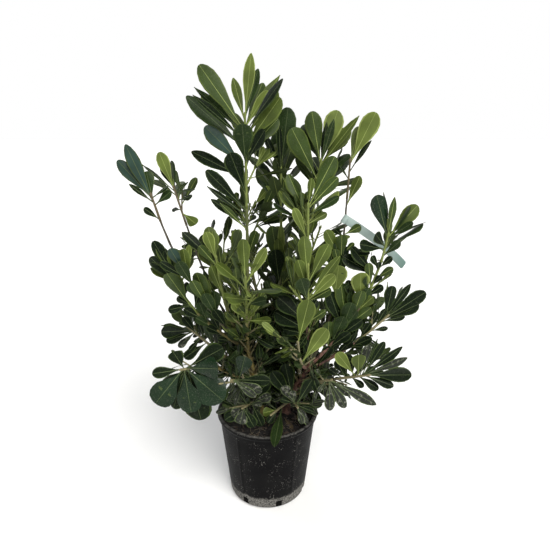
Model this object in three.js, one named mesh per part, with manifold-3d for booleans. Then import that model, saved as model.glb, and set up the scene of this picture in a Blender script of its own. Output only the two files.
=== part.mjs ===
// A potted Japanese pittosporum: a leggy young evergreen shrub in a black nursery pot.
// Millimetres, +Z up. The origin is the middle of the pot's flat underside, and the plant is seen
// from -Y, so an azimuth of 0 points right, -90 at the viewer and 90 away.

import * as THREE from "three";
import { mergeVertices } from "three/addons/utils/BufferGeometryUtils.js";
import Module from "manifold-3d";

const wasm = await Module();
wasm.setup();

// Driving dimensions

const GAP = 0.3; // between neighbouring solids
const CLEAR = 0.8; // kept free round every leaf and twig
const SEED = 20;

const POT = {
  height: 181,
  rimRadius: 100,
  lipReach: 4,
  lipHeight: 9,
  footRadius: 77,
  footRound: 9,
  wall: 2.4,
  floor: 3,
  sides: 35,
  notches: 7,
  notchWidth: 12,
  notchHeight: 13,
  notchDepth: 11,
  firstNotch: -124, // azimuth
};

const SOIL = { belowRim: 17, edgeRound: 5 };
const SOIL_TOP = POT.height - SOIL.belowRim;

// Each stem stands upright on the soil at its foot and leans over to its tip.
const STEMS = {
  right: { foot: [38, 12], tip: [78, -22], height: 118, footRadius: 6.6, tipRadius: 4.4 },
  left: { foot: [-14, 2], tip: [-36, -30], height: 165, footRadius: 6.2, tipRadius: 4.2 },
  back: { foot: [8, 36], tip: [2, 52], height: 175, footRadius: 6.4, tipRadius: 4.2 },
};
const STEM = { sides: 8, steps: 6, flare: 0.7, flareHeight: 14, forkShare: 0.5 };

const BOUGH = { sides: 4, steps: 4, footRadius: 3.6, tipRadius: 2.7, outward: 0.35, ease: 0.36 };
const TWIG = { sides: 3, segment: 48, footRadius: 2.6, tipRadius: 2.5, tilt: 48, lift: 0.4 };

// A leaf is obovate: a short stalk widens to its shoulders, and the tip is blunt.
const LEAF = {
  widthShare: 0.43,
  shoulder: 0.68,
  tipCorner: 0.97,
  tipShare: 0.55, // width at the tip's corners over the width at the shoulders
  droopShare: 0.035, // how far the tip hangs below the shoulders, over the length
  neck: 0.15,
  stalkWidth: 1.3,
  stalkDepth: 1.2,
};

// A rosette's leaves, from the outermost to the youngest. Their tilt from its axis has two values:
// on a shoot that points outward, and on one that stands upright.
const ROSETTE = {
  depth: 30, // length of stem that carries them
  sunk: 0.1, // how far from the middle of the stem a stalk begins
  outerTilt: [80, 58],
  innerTilt: [30, 9],
  youngest: 0.82, // its length over the outermost leaf's
  goldenAngle: 137.5,
  shift: 34, // how far a leaf may turn aside where another is in its way
  terminal: 8,
  whorl: 6,
  twig: 4,
  whorlSpacing: 66,
  whorlTilt: 40, // of the innermost leaf where the stem runs on
};

// Each shoot runs from its stem to a rosette at its tip. Reach and height place that rosette from the
// pot's axis and underside. Upturn is how far the tip turns from outward, 0, to upright, 1. The first
// share of the run is the bare bough, and the rest carries the foliage.
const SHOOTS = [
  // name, stem, azimuth, reach, height, upturn, bough share, whorls, side twigs, twig length, leaf length
  ["leader", "left", 164, 37, 736, 1, 0.62, 2, 2, 60, 112],
  ["right_leader", "back", 22, 105, 660, 0.9, 0.66, 2, 1, 60, 100],
  ["centre_leader", "back", 66, 64, 645, 0.95, 0.66, 2, 1, 60, 98],
  ["right_spire", "right", -4, 142, 662, 0.95, 0.84, 1, 0, 0, 94],
  ["left_spire", "left", -147, 204, 618, 0.8, 0.88, 1, 0, 0, 84],
  ["left_second", "left", 171, 168, 614, 0.75, 0.78, 1, 1, 40, 76],
  ["centre_right", "right", -46, 98, 597, 0.85, 0.7, 1, 2, 55, 94],
  ["right_shoulder", "right", -8, 212, 540, 0.9, 0.52, 1, 4, 60, 88],
  ["left_shoulder", "left", -160, 164, 478, 0.9, 0.6, 1, 3, 58, 76],
  ["left_low", "left", -140, 184, 330, -0.1, 0.7, 1, 2, 34, 88],
  ["right_low", "right", -20, 194, 290, 0.15, 0.55, 1, 3, 54, 78],
  ["right_middle", "right", -2, 224, 380, 0.5, 0.58, 1, 3, 58, 84],
  ["left_middle", "left", 178, 150, 352, 0.45, 0.6, 1, 3, 50, 68],
  ["front_left", "left", -140, 108, 510, 0.9, 0.6, 1, 3, 58, 78],
  ["front_centre", "left", -106, 116, 487, 0.85, 0.6, 1, 3, 60, 78],
  ["front_right", "right", -60, 134, 509, 0.85, 0.6, 1, 3, 60, 82],
  ["front_low", "right", -72, 164, 396, 0.7, 0.55, 1, 3, 58, 78],
  ["front_low_left", "left", -112, 150, 322, 0.3, 0.55, 1, 3, 58, 70],
  ["front_low_right", "right", -42, 150, 300, 0.3, 0.6, 1, 3, 50, 68],
  ["back_high", "back", 118, 92, 575, 0.9, 0.62, 1, 3, 60, 84],
  ["back_right", "back", 50, 168, 520, 0.7, 0.58, 1, 3, 64, 84],
  ["back_left", "back", 142, 160, 500, 0.7, 0.58, 1, 3, 64, 82],
  ["back_low", "back", 95, 175, 380, 0.45, 0.56, 1, 3, 62, 78],
  ["back_low_right", "back", 42, 182, 320, 0.3, 0.58, 1, 3, 58, 76],
  ["back_low_left", "back", 140, 178, 315, 0.3, 0.58, 1, 3, 58, 76],
  ["skirt_left", "left", -118, 92, 232, 0.2, 0, 1, 2, 45, 64],
  ["skirt_right", "right", -58, 104, 238, 0.25, 0, 1, 2, 45, 64],
  ["rim_sprig", "right", -82, 62, 205, 0.1, 0, 1, 0, 0, 62],
];

// A bare plastic strip looped round one bough and hanging from it.
const LABEL = {
  shoot: "right_spire",
  share: 0.75, // of the shoot's run
  length: 140,
  width: 14,
  thickness: 0.8,
  bow: 7,
  slope: -33, // of its length, from level
};

const COLOURS = {
  pot: 0x1c1c1d,
  soil: 0x2a211a,
  bark: 0x6b4a3c,
  foliage: 0x44582a,
  label: 0x9cc3bd,
};

// Small helpers

const UP = new THREE.Vector3(0, 0, 1);
const radians = THREE.MathUtils.degToRad;
const mix = THREE.MathUtils.lerp;

function heading(azimuth) {
  return new THREE.Vector3(Math.cos(radians(azimuth)), Math.sin(radians(azimuth)), 0);
}

// Seeded random numbers from 0 to 1, so that the same plant grows each time.
function seeded(seed) {
  let state = seed >>> 0;
  return () => {
    state = (Math.imul(state, 1664525) + 1013904223) >>> 0;
    return state / 4294967296;
  };
}

// A closed geometry as a solid. Triangles that collapse at a pole are dropped.
function solidOf(geometry) {
  const bare = new THREE.BufferGeometry();
  bare.setAttribute("position", geometry.getAttribute("position"));
  if (geometry.index) bare.setIndex(geometry.index);
  const merged = mergeVertices(bare, 1e-3);
  const corners = Array.from(merged.index.array);
  const faces = [];
  for (let i = 0; i < corners.length; i += 3) {
    const face = corners.slice(i, i + 3);
    if (new Set(face).size === 3) faces.push(...face);
  }
  return new wasm.Manifold(
    new wasm.Mesh({
      numProp: 3,
      vertProperties: merged.attributes.position.array,
      triVerts: new Uint32Array(faces),
    }),
  );
}

function geometryOf(solid) {
  const { vertProperties, triVerts } = solid.getMesh();
  const geometry = new THREE.BufferGeometry();
  geometry.setAttribute("position", new THREE.BufferAttribute(vertProperties, 3));
  geometry.setIndex(new THREE.BufferAttribute(triVerts, 1));
  return geometry;
}

// The largest body of a solid: loose scraps go, and a sealed hollow is filled.
function largestBody(solid) {
  return solid.decompose().reduce((a, b) => (b.volume() > a.volume() ? b : a));
}

// The same once corners that lie together are merged, which can part a hair-thin bridge.
function oneBody(solid) {
  return largestBody(solidOf(geometryOf(largestBody(solid))));
}

function indexed(points, faces) {
  const geometry = new THREE.BufferGeometry().setFromPoints(points);
  geometry.setIndex(faces.flat());
  return geometry;
}

// Pot and soil

function potInnerRadius(z) {
  return mix(POT.footRadius, POT.rimRadius - POT.lipReach, z / POT.height) - POT.wall;
}

// A tapered cup with a round lower edge and a turned lip, cut by drain notches at its foot.
function potSolid() {
  const wallTop = POT.rimRadius - POT.lipReach;
  const lipFoot = POT.height - POT.lipHeight;
  const profile = new THREE.Path();
  profile.moveTo(0, 0);
  profile.lineTo(POT.footRadius - POT.footRound, 0);
  profile.quadraticCurveTo(POT.footRadius, 0, POT.footRadius + 1, POT.footRound);
  profile.lineTo(wallTop - 0.5, lipFoot);
  profile.lineTo(POT.rimRadius, lipFoot + 2);
  profile.lineTo(POT.rimRadius, POT.height - 2);
  profile.lineTo(POT.rimRadius - 2, POT.height);
  profile.lineTo(potInnerRadius(POT.height), POT.height);
  profile.lineTo(potInnerRadius(POT.floor), POT.floor);
  profile.lineTo(0, POT.floor);
  const cup = new THREE.LatheGeometry(profile.getPoints(2), POT.sides).rotateX(Math.PI / 2);
  let solid = solidOf(cup);
  for (let i = 0; i < POT.notches; i++) {
    const turn = radians(POT.firstNotch + (360 / POT.notches) * i);
    const cut = new THREE.BoxGeometry(POT.notchDepth * 2, POT.notchWidth, POT.notchHeight * 2);
    cut.translate(POT.footRadius, 0, 0).rotateZ(turn);
    solid = solid.subtract(solidOf(cut));
  }
  return oneBody(solid);
}

function soilSolid() {
  const floor = POT.floor + GAP;
  const profile = [
    new THREE.Vector2(0, floor),
    new THREE.Vector2(potInnerRadius(floor) - GAP * 2, floor),
    new THREE.Vector2(potInnerRadius(SOIL_TOP) - GAP * 2, SOIL_TOP - SOIL.edgeRound),
    new THREE.Vector2(potInnerRadius(SOIL_TOP) - SOIL.edgeRound, SOIL_TOP),
    new THREE.Vector2(0, SOIL_TOP),
  ];
  return solidOf(new THREE.LatheGeometry(profile, POT.sides).rotateX(Math.PI / 2));
}

// Limbs

// A stretch of another curve, from one share of its length to another.
class Stretch extends THREE.Curve {
  constructor(path, from, to) {
    super();
    Object.assign(this, { path, from, to });
  }
  getPoint(t, target = new THREE.Vector3()) {
    return target.copy(this.path.getPointAt(mix(this.from, this.to, t)));
  }
}

// A limb: points along a curve, with a heading and a radius at each.
function limbAlong(curve, steps, radiusAt) {
  const shares = Array.from({ length: steps + 1 }, (_, i) => i / steps);
  return {
    points: shares.map((share) => curve.getPointAt(share)),
    headings: shares.map((share) => curve.getTangentAt(share)),
    radii: shares.map(radiusAt),
  };
}

// Rings round a limb's points, closed by a flat cut at each end. Swell makes it thicker.
function limbGeometry({ points, headings, radii }, sides, swell = 0) {
  const corners = [];
  const faces = [];
  const spoke = new THREE.Vector3(0.8, 0.6, 0);
  points.forEach((centre, i) => {
    spoke.projectOnPlane(headings[i]).normalize();
    const across = headings[i].clone().cross(spoke);
    for (let j = 0; j < sides; j++) {
      const turn = (2 * Math.PI * j) / sides;
      const corner = centre.clone().addScaledVector(spoke, Math.cos(turn) * (radii[i] + swell));
      corners.push(corner.addScaledVector(across, Math.sin(turn) * (radii[i] + swell)));
      if (i === 0) continue;
      const a = (i - 1) * sides + j;
      const b = (i - 1) * sides + ((j + 1) % sides);
      faces.push([a, b, b + sides], [a, b + sides, a + sides]);
    }
  });
  const last = corners.length - sides;
  for (let j = 1; j < sides - 1; j++) {
    faces.push([0, j + 1, j], [last, last + j, last + j + 1]);
  }
  return indexed(corners, faces);
}

// The place and axis at a distance back from a limb's tip, along the straight runs between its points.
function backFrom({ points }, distance) {
  let left = distance;
  let i = points.length - 1;
  while (i > 1 && left > points[i].distanceTo(points[i - 1])) {
    left -= points[i].distanceTo(points[i - 1]);
    i -= 1;
  }
  const axis = points[i].clone().sub(points[i - 1]).normalize();
  return { place: points[i].clone().addScaledVector(axis, -left), axis };
}

function stemCurve({ foot, tip, height }) {
  const start = new THREE.Vector3(...foot, SOIL_TOP + GAP);
  const end = new THREE.Vector3(...tip, SOIL_TOP + height);
  return new THREE.CubicBezierCurve3(
    start,
    start.clone().addScaledVector(UP, height * 0.3),
    start.clone().lerp(end, 0.7),
    end,
  );
}

// A stem tapers from foot to tip, with its root flare just above the soil.
function stemGeometry(stem, swell = 0) {
  const radiusAt = (t) => {
    const flare = 1 + STEM.flare * Math.exp((-t * stem.height) / STEM.flareHeight);
    return mix(stem.footRadius, stem.tipRadius, t) * flare;
  };
  return limbGeometry(limbAlong(stemCurve(stem), STEM.steps, radiusAt), STEM.sides, swell);
}

// The run of a shoot from its stem to its rosette. Taller shoots leave the stem higher up.
function shootCurve(shoot) {
  const rosette = heading(shoot.azimuth).multiplyScalar(shoot.reach).setZ(shoot.height);
  const stem = STEMS[shoot.stem];
  const fork = Math.min(1, (STEM.forkShare * (shoot.height - SOIL_TOP)) / stem.height);
  const start = stemCurve(stem).getPointAt(fork);
  const chord = rosette.clone().sub(start);
  const outward = chord.clone().setZ(0).normalize();
  const ease = chord.length() * BOUGH.ease;
  const leaving = chord.clone().normalize().addScaledVector(outward, BOUGH.outward).normalize();
  const arriving = outward.clone().lerp(UP, shoot.upturn).normalize();
  return new THREE.CubicBezierCurve3(
    start,
    start.clone().addScaledVector(leaving, ease),
    rosette.clone().addScaledVector(arriving, -ease),
    rosette,
  );
}

function boughGeometry({ run, bough }, swell = 0) {
  const taper = (t) => mix(BOUGH.footRadius, BOUGH.tipRadius, t);
  return limbGeometry(limbAlong(new Stretch(run, 0, bough), BOUGH.steps, taper), BOUGH.sides, swell);
}

// Leaves

// One leaf as a thin closed solid: a three-cornered stalk, two shoulders and two tip corners, flat
// above and thickest along the midrib. Swell makes it larger all round, and start leaves off a share
// of its length at the root.
function leafGeometry({ root, along, up, length }, { swell = 0, start = 0 } = {}) {
  const side = up.clone().cross(along);
  const at = (x, y, z) =>
    root.clone().addScaledVector(along, x).addScaledVector(side, y).addScaledVector(up, z);
  const half = (LEAF.widthShare * length) / 2 + swell;
  const stalk = LEAF.stalkWidth / 2 + swell;
  const depth = -LEAF.stalkDepth - swell;
  const neck = LEAF.neck * length;
  const shoulder = LEAF.shoulder * length;
  const tip = LEAF.tipCorner * length + swell;
  const droop = -LEAF.droopShare * length - swell;
  const points = [
    at(start * length, stalk, swell),
    at(start * length, -stalk, swell),
    at(start * length, 0, depth),
    at(neck, stalk, swell),
    at(neck, -stalk, swell),
    at(neck, 0, depth),
    at(shoulder, half, swell),
    at(shoulder, -half, swell),
    at(tip, half * LEAF.tipShare, droop),
    at(tip, -half * LEAF.tipShare, droop),
  ];
  const [a, b, c, leftNeck, rightNeck, keel, left, right, leftTip, rightTip] = points.keys();
  return indexed(points, [
    [a, c, b],
    [a, b, rightNeck],
    [a, rightNeck, leftNeck],
    [b, c, keel],
    [b, keel, rightNeck],
    [c, a, leftNeck],
    [c, leftNeck, keel],
    [leftNeck, rightNeck, right],
    [leftNeck, right, left],
    [left, right, rightTip],
    [left, rightTip, leftTip],
    [keel, rightTip, right],
    [keel, leftTip, rightTip],
    [keel, left, leftTip],
    [leftNeck, left, keel],
    [rightNeck, keel, right],
  ]);
}

// Leaves round a limb, turned by the golden angle from the outermost to the youngest, which is a
// distance back from the limb's tip. Each is a list of choices: its own turn, and one to either side.
function rosette(limb, { back, upturn, innerTilt, count, leafLength }, random) {
  const outerTilt = mix(...ROSETTE.outerTilt, upturn);
  const firstTurn = random() * 360;
  const leaves = [];
  for (let k = 0; k < count; k++) {
    const share = k / (count - 1);
    const ownTurn = firstTurn + ROSETTE.goldenAngle * k + mix(-12, 12, random());
    const tilt = radians(mix(outerTilt, innerTilt, share) + mix(-9, 9, random()));
    const length = leafLength * mix(1, ROSETTE.youngest, share) * mix(0.86, 1.1, random());
    const { place, axis } = backFrom(limb, back + mix(ROSETTE.depth, 1, share));
    const side = new THREE.Vector3(-axis.y, axis.x, 0.01).cross(axis).normalize();
    const front = axis.clone().cross(side);
    const choices = [0, ROSETTE.shift, -ROSETTE.shift].map((shift) => {
      const turn = radians(ownTurn + shift);
      const spoke = side.clone().multiplyScalar(Math.cos(turn)).addScaledVector(front, Math.sin(turn));
      const along = axis.clone().multiplyScalar(Math.cos(tilt)).addScaledVector(spoke, Math.sin(tilt));
      const up = axis.clone().multiplyScalar(Math.sin(tilt)).addScaledVector(spoke, -Math.cos(tilt));
      const root = place.clone().addScaledVector(spoke, ROSETTE.sunk);
      return { root, along, up, length };
    });
    leaves.push(choices);
  }
  return leaves;
}

// Growth

// The part of a shoot's run beyond its bough, which carries the foliage.
function leafyStem({ run, bough }) {
  const curve = new Stretch(run, bough + GAP / run.getLength(), 1);
  const steps = Math.max(1, Math.round(curve.getLength() / TWIG.segment));
  return limbAlong(curve, steps, (t) => mix(BOUGH.tipRadius, TWIG.tipRadius, t));
}

// A straight twig that leaves a stem at a distance back from its tip, turned about it.
function sideTwig(stem, back, turn, length) {
  const { place, axis } = backFrom(stem, back);
  const spoke = heading(turn).projectOnPlane(axis).normalize();
  const tilt = radians(TWIG.tilt);
  const leaving = axis.multiplyScalar(Math.cos(tilt)).addScaledVector(spoke, Math.sin(tilt));
  leaving.addScaledVector(UP, TWIG.lift).normalize();
  const end = place.clone().addScaledVector(leaving, length);
  const taper = (t) => mix(TWIG.footRadius, TWIG.tipRadius, t);
  return limbAlong(new THREE.LineCurve3(place, end), 1, taper);
}

// A mass of foliage: its stem, side twigs, and rosettes at their ends. Each limb comes with the
// leaves that it carries.
function growFoliage(shoot, random) {
  const { upturn, leaf } = shoot;
  const stem = leafyStem(shoot);
  const grown = [{ limb: stem, leaves: [] }];
  for (let i = 0; i < shoot.whorls; i++) {
    const back = i * ROSETTE.whorlSpacing;
    const count = i === 0 ? ROSETTE.terminal : ROSETTE.whorl;
    const innerTilt = i === 0 ? mix(...ROSETTE.innerTilt, upturn) : ROSETTE.whorlTilt;
    const leaves = rosette(stem, { back, upturn, innerTilt, count, leafLength: leaf }, random);
    grown[0].leaves.push(...leaves);
  }
  const stemLength = shoot.run.getLength() * (1 - shoot.bough);
  const firstTurn = random() * 360;
  for (let j = 0; j < shoot.twigs; j++) {
    const back = stemLength * mix(0.88, 0.34, (j + 0.5) / shoot.twigs);
    const turn = firstTurn + ROSETTE.goldenAngle * j + mix(-20, 20, random());
    const limb = sideTwig(stem, back, turn, shoot.twigLength * mix(0.75, 1.15, random()));
    const leafLength = leaf * mix(0.78, 0.95, random());
    const innerTilt = mix(...ROSETTE.innerTilt, upturn);
    const count = ROSETTE.twig;
    const leaves = rosette(limb, { back: 0, upturn, innerTilt, count, leafLength }, random);
    grown.push({ limb, leaves });
  }
  return grown;
}

// Label

// A ring just wide enough for the leaning bough, with a long bowed tail behind it.
function labelSolid({ run, bough }) {
  const centre = run.getPointAt(LABEL.share);
  const slope = radians(LABEL.slope);
  const along = new THREE.Vector3(Math.cos(slope), 0, Math.sin(slope));
  const behind = new THREE.Vector3(0, 1, 0);
  const across = along.clone().cross(behind);
  const lean = across.angleTo(run.getTangentAt(LABEL.share));
  const boughRadius = mix(BOUGH.footRadius, BOUGH.tipRadius, LABEL.share / bough);
  const inner = (boughRadius + GAP) / Math.cos(lean) + (LABEL.width / 2) * Math.tan(lean);
  const outer = inner + LABEL.thickness;
  const ring = new THREE.Shape().absarc(0, 0, outer, 0, 2 * Math.PI);
  ring.holes.push(new THREE.Path().absarc(0, 0, inner, 0, 2 * Math.PI, true));
  const tail = new THREE.Shape().moveTo(0, inner);
  tail.quadraticCurveTo(LABEL.length / 2, inner + LABEL.bow, LABEL.length, inner);
  tail.lineTo(LABEL.length, outer);
  tail.quadraticCurveTo(LABEL.length / 2, outer + LABEL.bow, 0, outer);
  const frame = new THREE.Matrix4().makeBasis(along, behind, across);
  frame.setPosition(centre.addScaledVector(across, -LABEL.width / 2));
  return [ring, tail]
    .map((shape) => new THREE.ExtrudeGeometry(shape, { depth: LABEL.width, bevelEnabled: false, curveSegments: 6 }))
    .map((geometry) => solidOf(geometry.applyMatrix4(frame)))
    .reduce((a, b) => a.add(b));
}

// Room

// A geometry's corners, faces and edges, for finding what touches what.
function outlineOf(geometry) {
  const points = [];
  const position = geometry.getAttribute("position");
  for (let i = 0; i < position.count; i++) {
    points.push(new THREE.Vector3().fromBufferAttribute(position, i));
  }
  const faces = [];
  const edges = new Map();
  for (let i = 0; i < geometry.index.count; i += 3) {
    const face = [0, 1, 2].map((k) => geometry.index.getX(i + k));
    faces.push(face.map((k) => points[k]));
    face.forEach((from, k) => {
      const to = face[(k + 1) % 3];
      edges.set(Math.min(from, to) * points.length + Math.max(from, to), [points[from], points[to]]);
    });
  }
  const sphere = new THREE.Sphere().setFromPoints(points);
  return { faces, edges: [...edges.values()], sphere };
}

const ray = new THREE.Ray();
const hit = new THREE.Vector3();

// True if an edge runs through a face.
function pierces([from, to], [a, b, c]) {
  ray.origin.copy(from);
  ray.direction.subVectors(to, from).normalize();
  return (
    ray.intersectTriangle(a, b, c, false, hit) !== null &&
    hit.distanceToSquared(from) <= from.distanceToSquared(to)
  );
}

function touches(one, other) {
  if (!one.sphere.intersectsSphere(other.sphere)) return false;
  const crosses = (p, q) =>
    p.edges.some((edge) => q.faces.some((face) => pierces(edge, face)));
  return crosses(one, other) || crosses(other, one);
}

// What a leaf takes up: all of it, and its blade beyond the neck.
function leafOutlines(leaf) {
  const whole = outlineOf(leafGeometry(leaf));
  const blade = outlineOf(leafGeometry(leaf, { start: LEAF.neck * 0.9 }));
  return { whole, blade };
}

// True if two leaves of one mass cross anywhere but at their stalks.
function leavesCross(one, other) {
  return touches(one.blade, other.whole) || touches(one.whole, other.blade);
}

// What has been placed so far, by the node that owns it.
const placed = [];

function place(owner, geometry) {
  placed.push({ owner, outline: outlineOf(geometry) });
}

function hasRoom(owner, swollen) {
  const outline = outlineOf(swollen);
  return !placed.some((item) => item.owner !== owner && touches(outline, item.outline));
}

// Assembly

const plant = new THREE.Group();
plant.name = "potted_pittosporum";

function addPart(name, solid, colour, roughness) {
  const material = new THREE.MeshStandardMaterial({ color: colour, roughness, metalness: 0 });
  const mesh = new THREE.Mesh(geometryOf(solid), material);
  mesh.name = name;
  plant.add(mesh);
  place(name, mesh.geometry);
}

addPart("pot", potSolid(), COLOURS.pot, 0.55);
addPart("soil", soilSolid(), COLOURS.soil, 0.95);

for (const [name, stem] of Object.entries(STEMS)) {
  addPart(`stem_${name}`, solidOf(stemGeometry(stem)), COLOURS.bark, 0.8);
}

const shoots = SHOOTS.map(
  ([name, stem, azimuth, reach, height, upturn, bough, whorls, twigs, twigLength, leaf]) => {
    const shoot = { name, stem, azimuth, reach, height, upturn, bough, whorls, twigs, twigLength, leaf };
    return { ...shoot, run: shootCurve(shoot) };
  },
);

// Each bough is cut back from the stems and from the boughs before it.
let standing = Object.values(STEMS)
  .map((stem) => solidOf(stemGeometry(stem, GAP)))
  .reduce((a, b) => a.add(b));
for (const shoot of shoots.filter(({ bough }) => bough > 0)) {
  const limb = solidOf(boughGeometry(shoot)).subtract(standing);
  addPart(`bough_${shoot.name}`, oneBody(limb), COLOURS.bark, 0.8);
  standing = standing.add(solidOf(boughGeometry(shoot, GAP)));
}

addPart("label", labelSolid(shoots.find(({ name }) => name === LABEL.shoot)), COLOURS.label, 0.4);

// Every mass first takes the room of its own stem. Then a twig or leaf that would touch another
// node, or a leaf that would cut through its own mass, is skipped.
for (const shoot of shoots) {
  place(`foliage_${shoot.name}`, limbGeometry(leafyStem(shoot), TWIG.sides));
}

shoots.forEach((shoot, index) => {
  const node = `foliage_${shoot.name}`;
  const grown = growFoliage(shoot, seeded(SEED + 101 * index)).filter(
    ({ limb }, order) => order === 0 || hasRoom(node, limbGeometry(limb, TWIG.sides, CLEAR)),
  );
  const pieces = grown.map(({ limb }) => limbGeometry(limb, TWIG.sides));
  const twigs = pieces.map(outlineOf);
  const kept = [];
  for (const choices of grown.flatMap(({ leaves }) => leaves)) {
    const leaf = choices.find((choice) => {
      const own = leafOutlines(choice);
      const crosses =
        twigs.some((twig) => touches(own.blade, twig)) || kept.some((other) => leavesCross(own, other));
      return !crosses && hasRoom(node, leafGeometry(choice, { swell: CLEAR }));
    });
    if (!leaf) continue;
    pieces.push(leafGeometry(leaf));
    kept.push(leafOutlines(leaf));
  }
  const fused = wasm.Manifold.union(pieces.map(solidOf)).subtract(standing);
  addPart(node, oneBody(fused), COLOURS.foliage, 0.45);
});

export default plant;
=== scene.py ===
# %% [markdown]
# # A potted Japanese pittosporum
# The real object is a leggy young evergreen shrub in a black nursery pot. Three thin stems stand in dark
# potting mix, long bare boughs leave them, and every shoot ends in a rosette of leathery, spoon-shaped
# leaves. The solids of the part already say where the limbs and most of the leaves are. This lesson loads
# them as a fixed frame and grows the finer plant in the same places. All lengths below are millimetres,
# and one helper turns them into Blender's metres.

# %% Load the frame
from collections import namedtuple

import bpy
import numpy as np
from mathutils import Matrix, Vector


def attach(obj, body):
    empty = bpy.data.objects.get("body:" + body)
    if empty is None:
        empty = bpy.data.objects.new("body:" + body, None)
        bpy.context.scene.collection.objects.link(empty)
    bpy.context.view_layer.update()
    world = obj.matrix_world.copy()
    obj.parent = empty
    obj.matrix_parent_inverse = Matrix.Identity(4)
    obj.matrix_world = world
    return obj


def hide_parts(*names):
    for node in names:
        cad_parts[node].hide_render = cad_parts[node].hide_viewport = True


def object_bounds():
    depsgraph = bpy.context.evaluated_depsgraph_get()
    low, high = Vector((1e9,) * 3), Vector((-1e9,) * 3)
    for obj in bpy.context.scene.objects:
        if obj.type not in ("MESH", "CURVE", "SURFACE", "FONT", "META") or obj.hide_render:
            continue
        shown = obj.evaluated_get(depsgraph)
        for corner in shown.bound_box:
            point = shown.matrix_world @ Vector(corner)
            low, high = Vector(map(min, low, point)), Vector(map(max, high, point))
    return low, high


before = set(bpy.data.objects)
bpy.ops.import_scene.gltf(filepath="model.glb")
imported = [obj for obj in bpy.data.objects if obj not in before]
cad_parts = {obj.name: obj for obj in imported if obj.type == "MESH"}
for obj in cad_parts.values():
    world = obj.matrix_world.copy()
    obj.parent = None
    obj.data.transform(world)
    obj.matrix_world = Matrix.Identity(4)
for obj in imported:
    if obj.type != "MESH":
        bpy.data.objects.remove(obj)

MM = 0.001
cad_box = [[float(x) for x in corner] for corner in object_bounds()]
print("CAD box in metres:", cad_box)

# %% [markdown]
# ## Meshes from arrays
# Almost everything on a plant is a grid of points bent into shape: a limb is rings along a path, a pot is a
# profile turned round an axis, and a leaf is a strip that widens and narrows. So two small helpers do most
# of the work. One lists the four-cornered faces of a grid, and one makes an object from points and faces
# and lets it ride on the part's only body.

# %% Grid faces and pieces
def quads(rows, columns, closed=False):
    """Faces of a grid of points that are counted row by row.

    Each face goes from a point to the next column, up a row, and back. Where columns run
    counter-clockwise round the heading of the rows, that points outwards. A closed grid joins
    its last column to its first.
    """
    row, column = np.meshgrid(np.arange(rows - 1), np.arange(columns - (not closed)), indexing="ij")
    here = row * columns + column
    beside = row * columns + (column + 1) % columns
    return np.stack([here, beside, beside + columns, here + columns], axis=-1).reshape(-1, 4)


def join(parts):
    """Several (points, faces, slot) parts as one: points, faces and the slot of each face."""
    points = np.concatenate([part[0] for part in parts])
    starts = np.cumsum([0] + [len(part[0]) for part in parts[:-1]])
    faces = [[start + k for k in face] for start, part in zip(starts.tolist(), parts) for face in part[1]]
    slots = np.concatenate([np.full(len(part[1]), part[2]) for part in parts])
    return points, faces, slots


def stand(name, data):
    """A new object in the scene, made of a mesh, a lamp or a camera."""
    made = bpy.data.objects.new(name, data)
    bpy.context.scene.collection.objects.link(made)
    return made


def piece(name, points, faces, finishes, slots=None):
    """A smooth mesh object from points in millimetres. Slots give each face one of the finishes."""
    mesh = bpy.data.meshes.new(name)
    mesh.from_pydata((points * MM).tolist(), [], faces)
    for finish in finishes:
        mesh.materials.append(finish)
    if slots is not None:
        mesh.polygons.foreach_set("material_index", np.asarray(slots, dtype=np.int32))
    mesh.shade_smooth()
    made = stand(name, mesh)
    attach(made, "root")
    triangles = sum(len(face) - 2 for face in faces)
    print(f"{name}: {len(points)} points, {triangles} triangles")
    return made

# %% [markdown]
# ## Finishes from expressions
# A material is a graph of nodes, and a long graph is hard to read as code. Here a small class wraps one
# socket, so that `1 - mask * 0.5` adds the Math nodes by itself. Colours never go through Math, which
# would turn them grey: a mask blends two colours with a Mix node. Every pattern reads Object coordinates,
# in metres, so it stays on the piece.

# %% Wires and finishes
def plug(socket, value):
    """Link a wire to a socket, or set the socket's own value."""
    if isinstance(value, Wire):
        socket.id_data.links.new(value.socket, socket)
    else:
        socket.default_value = value


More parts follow.
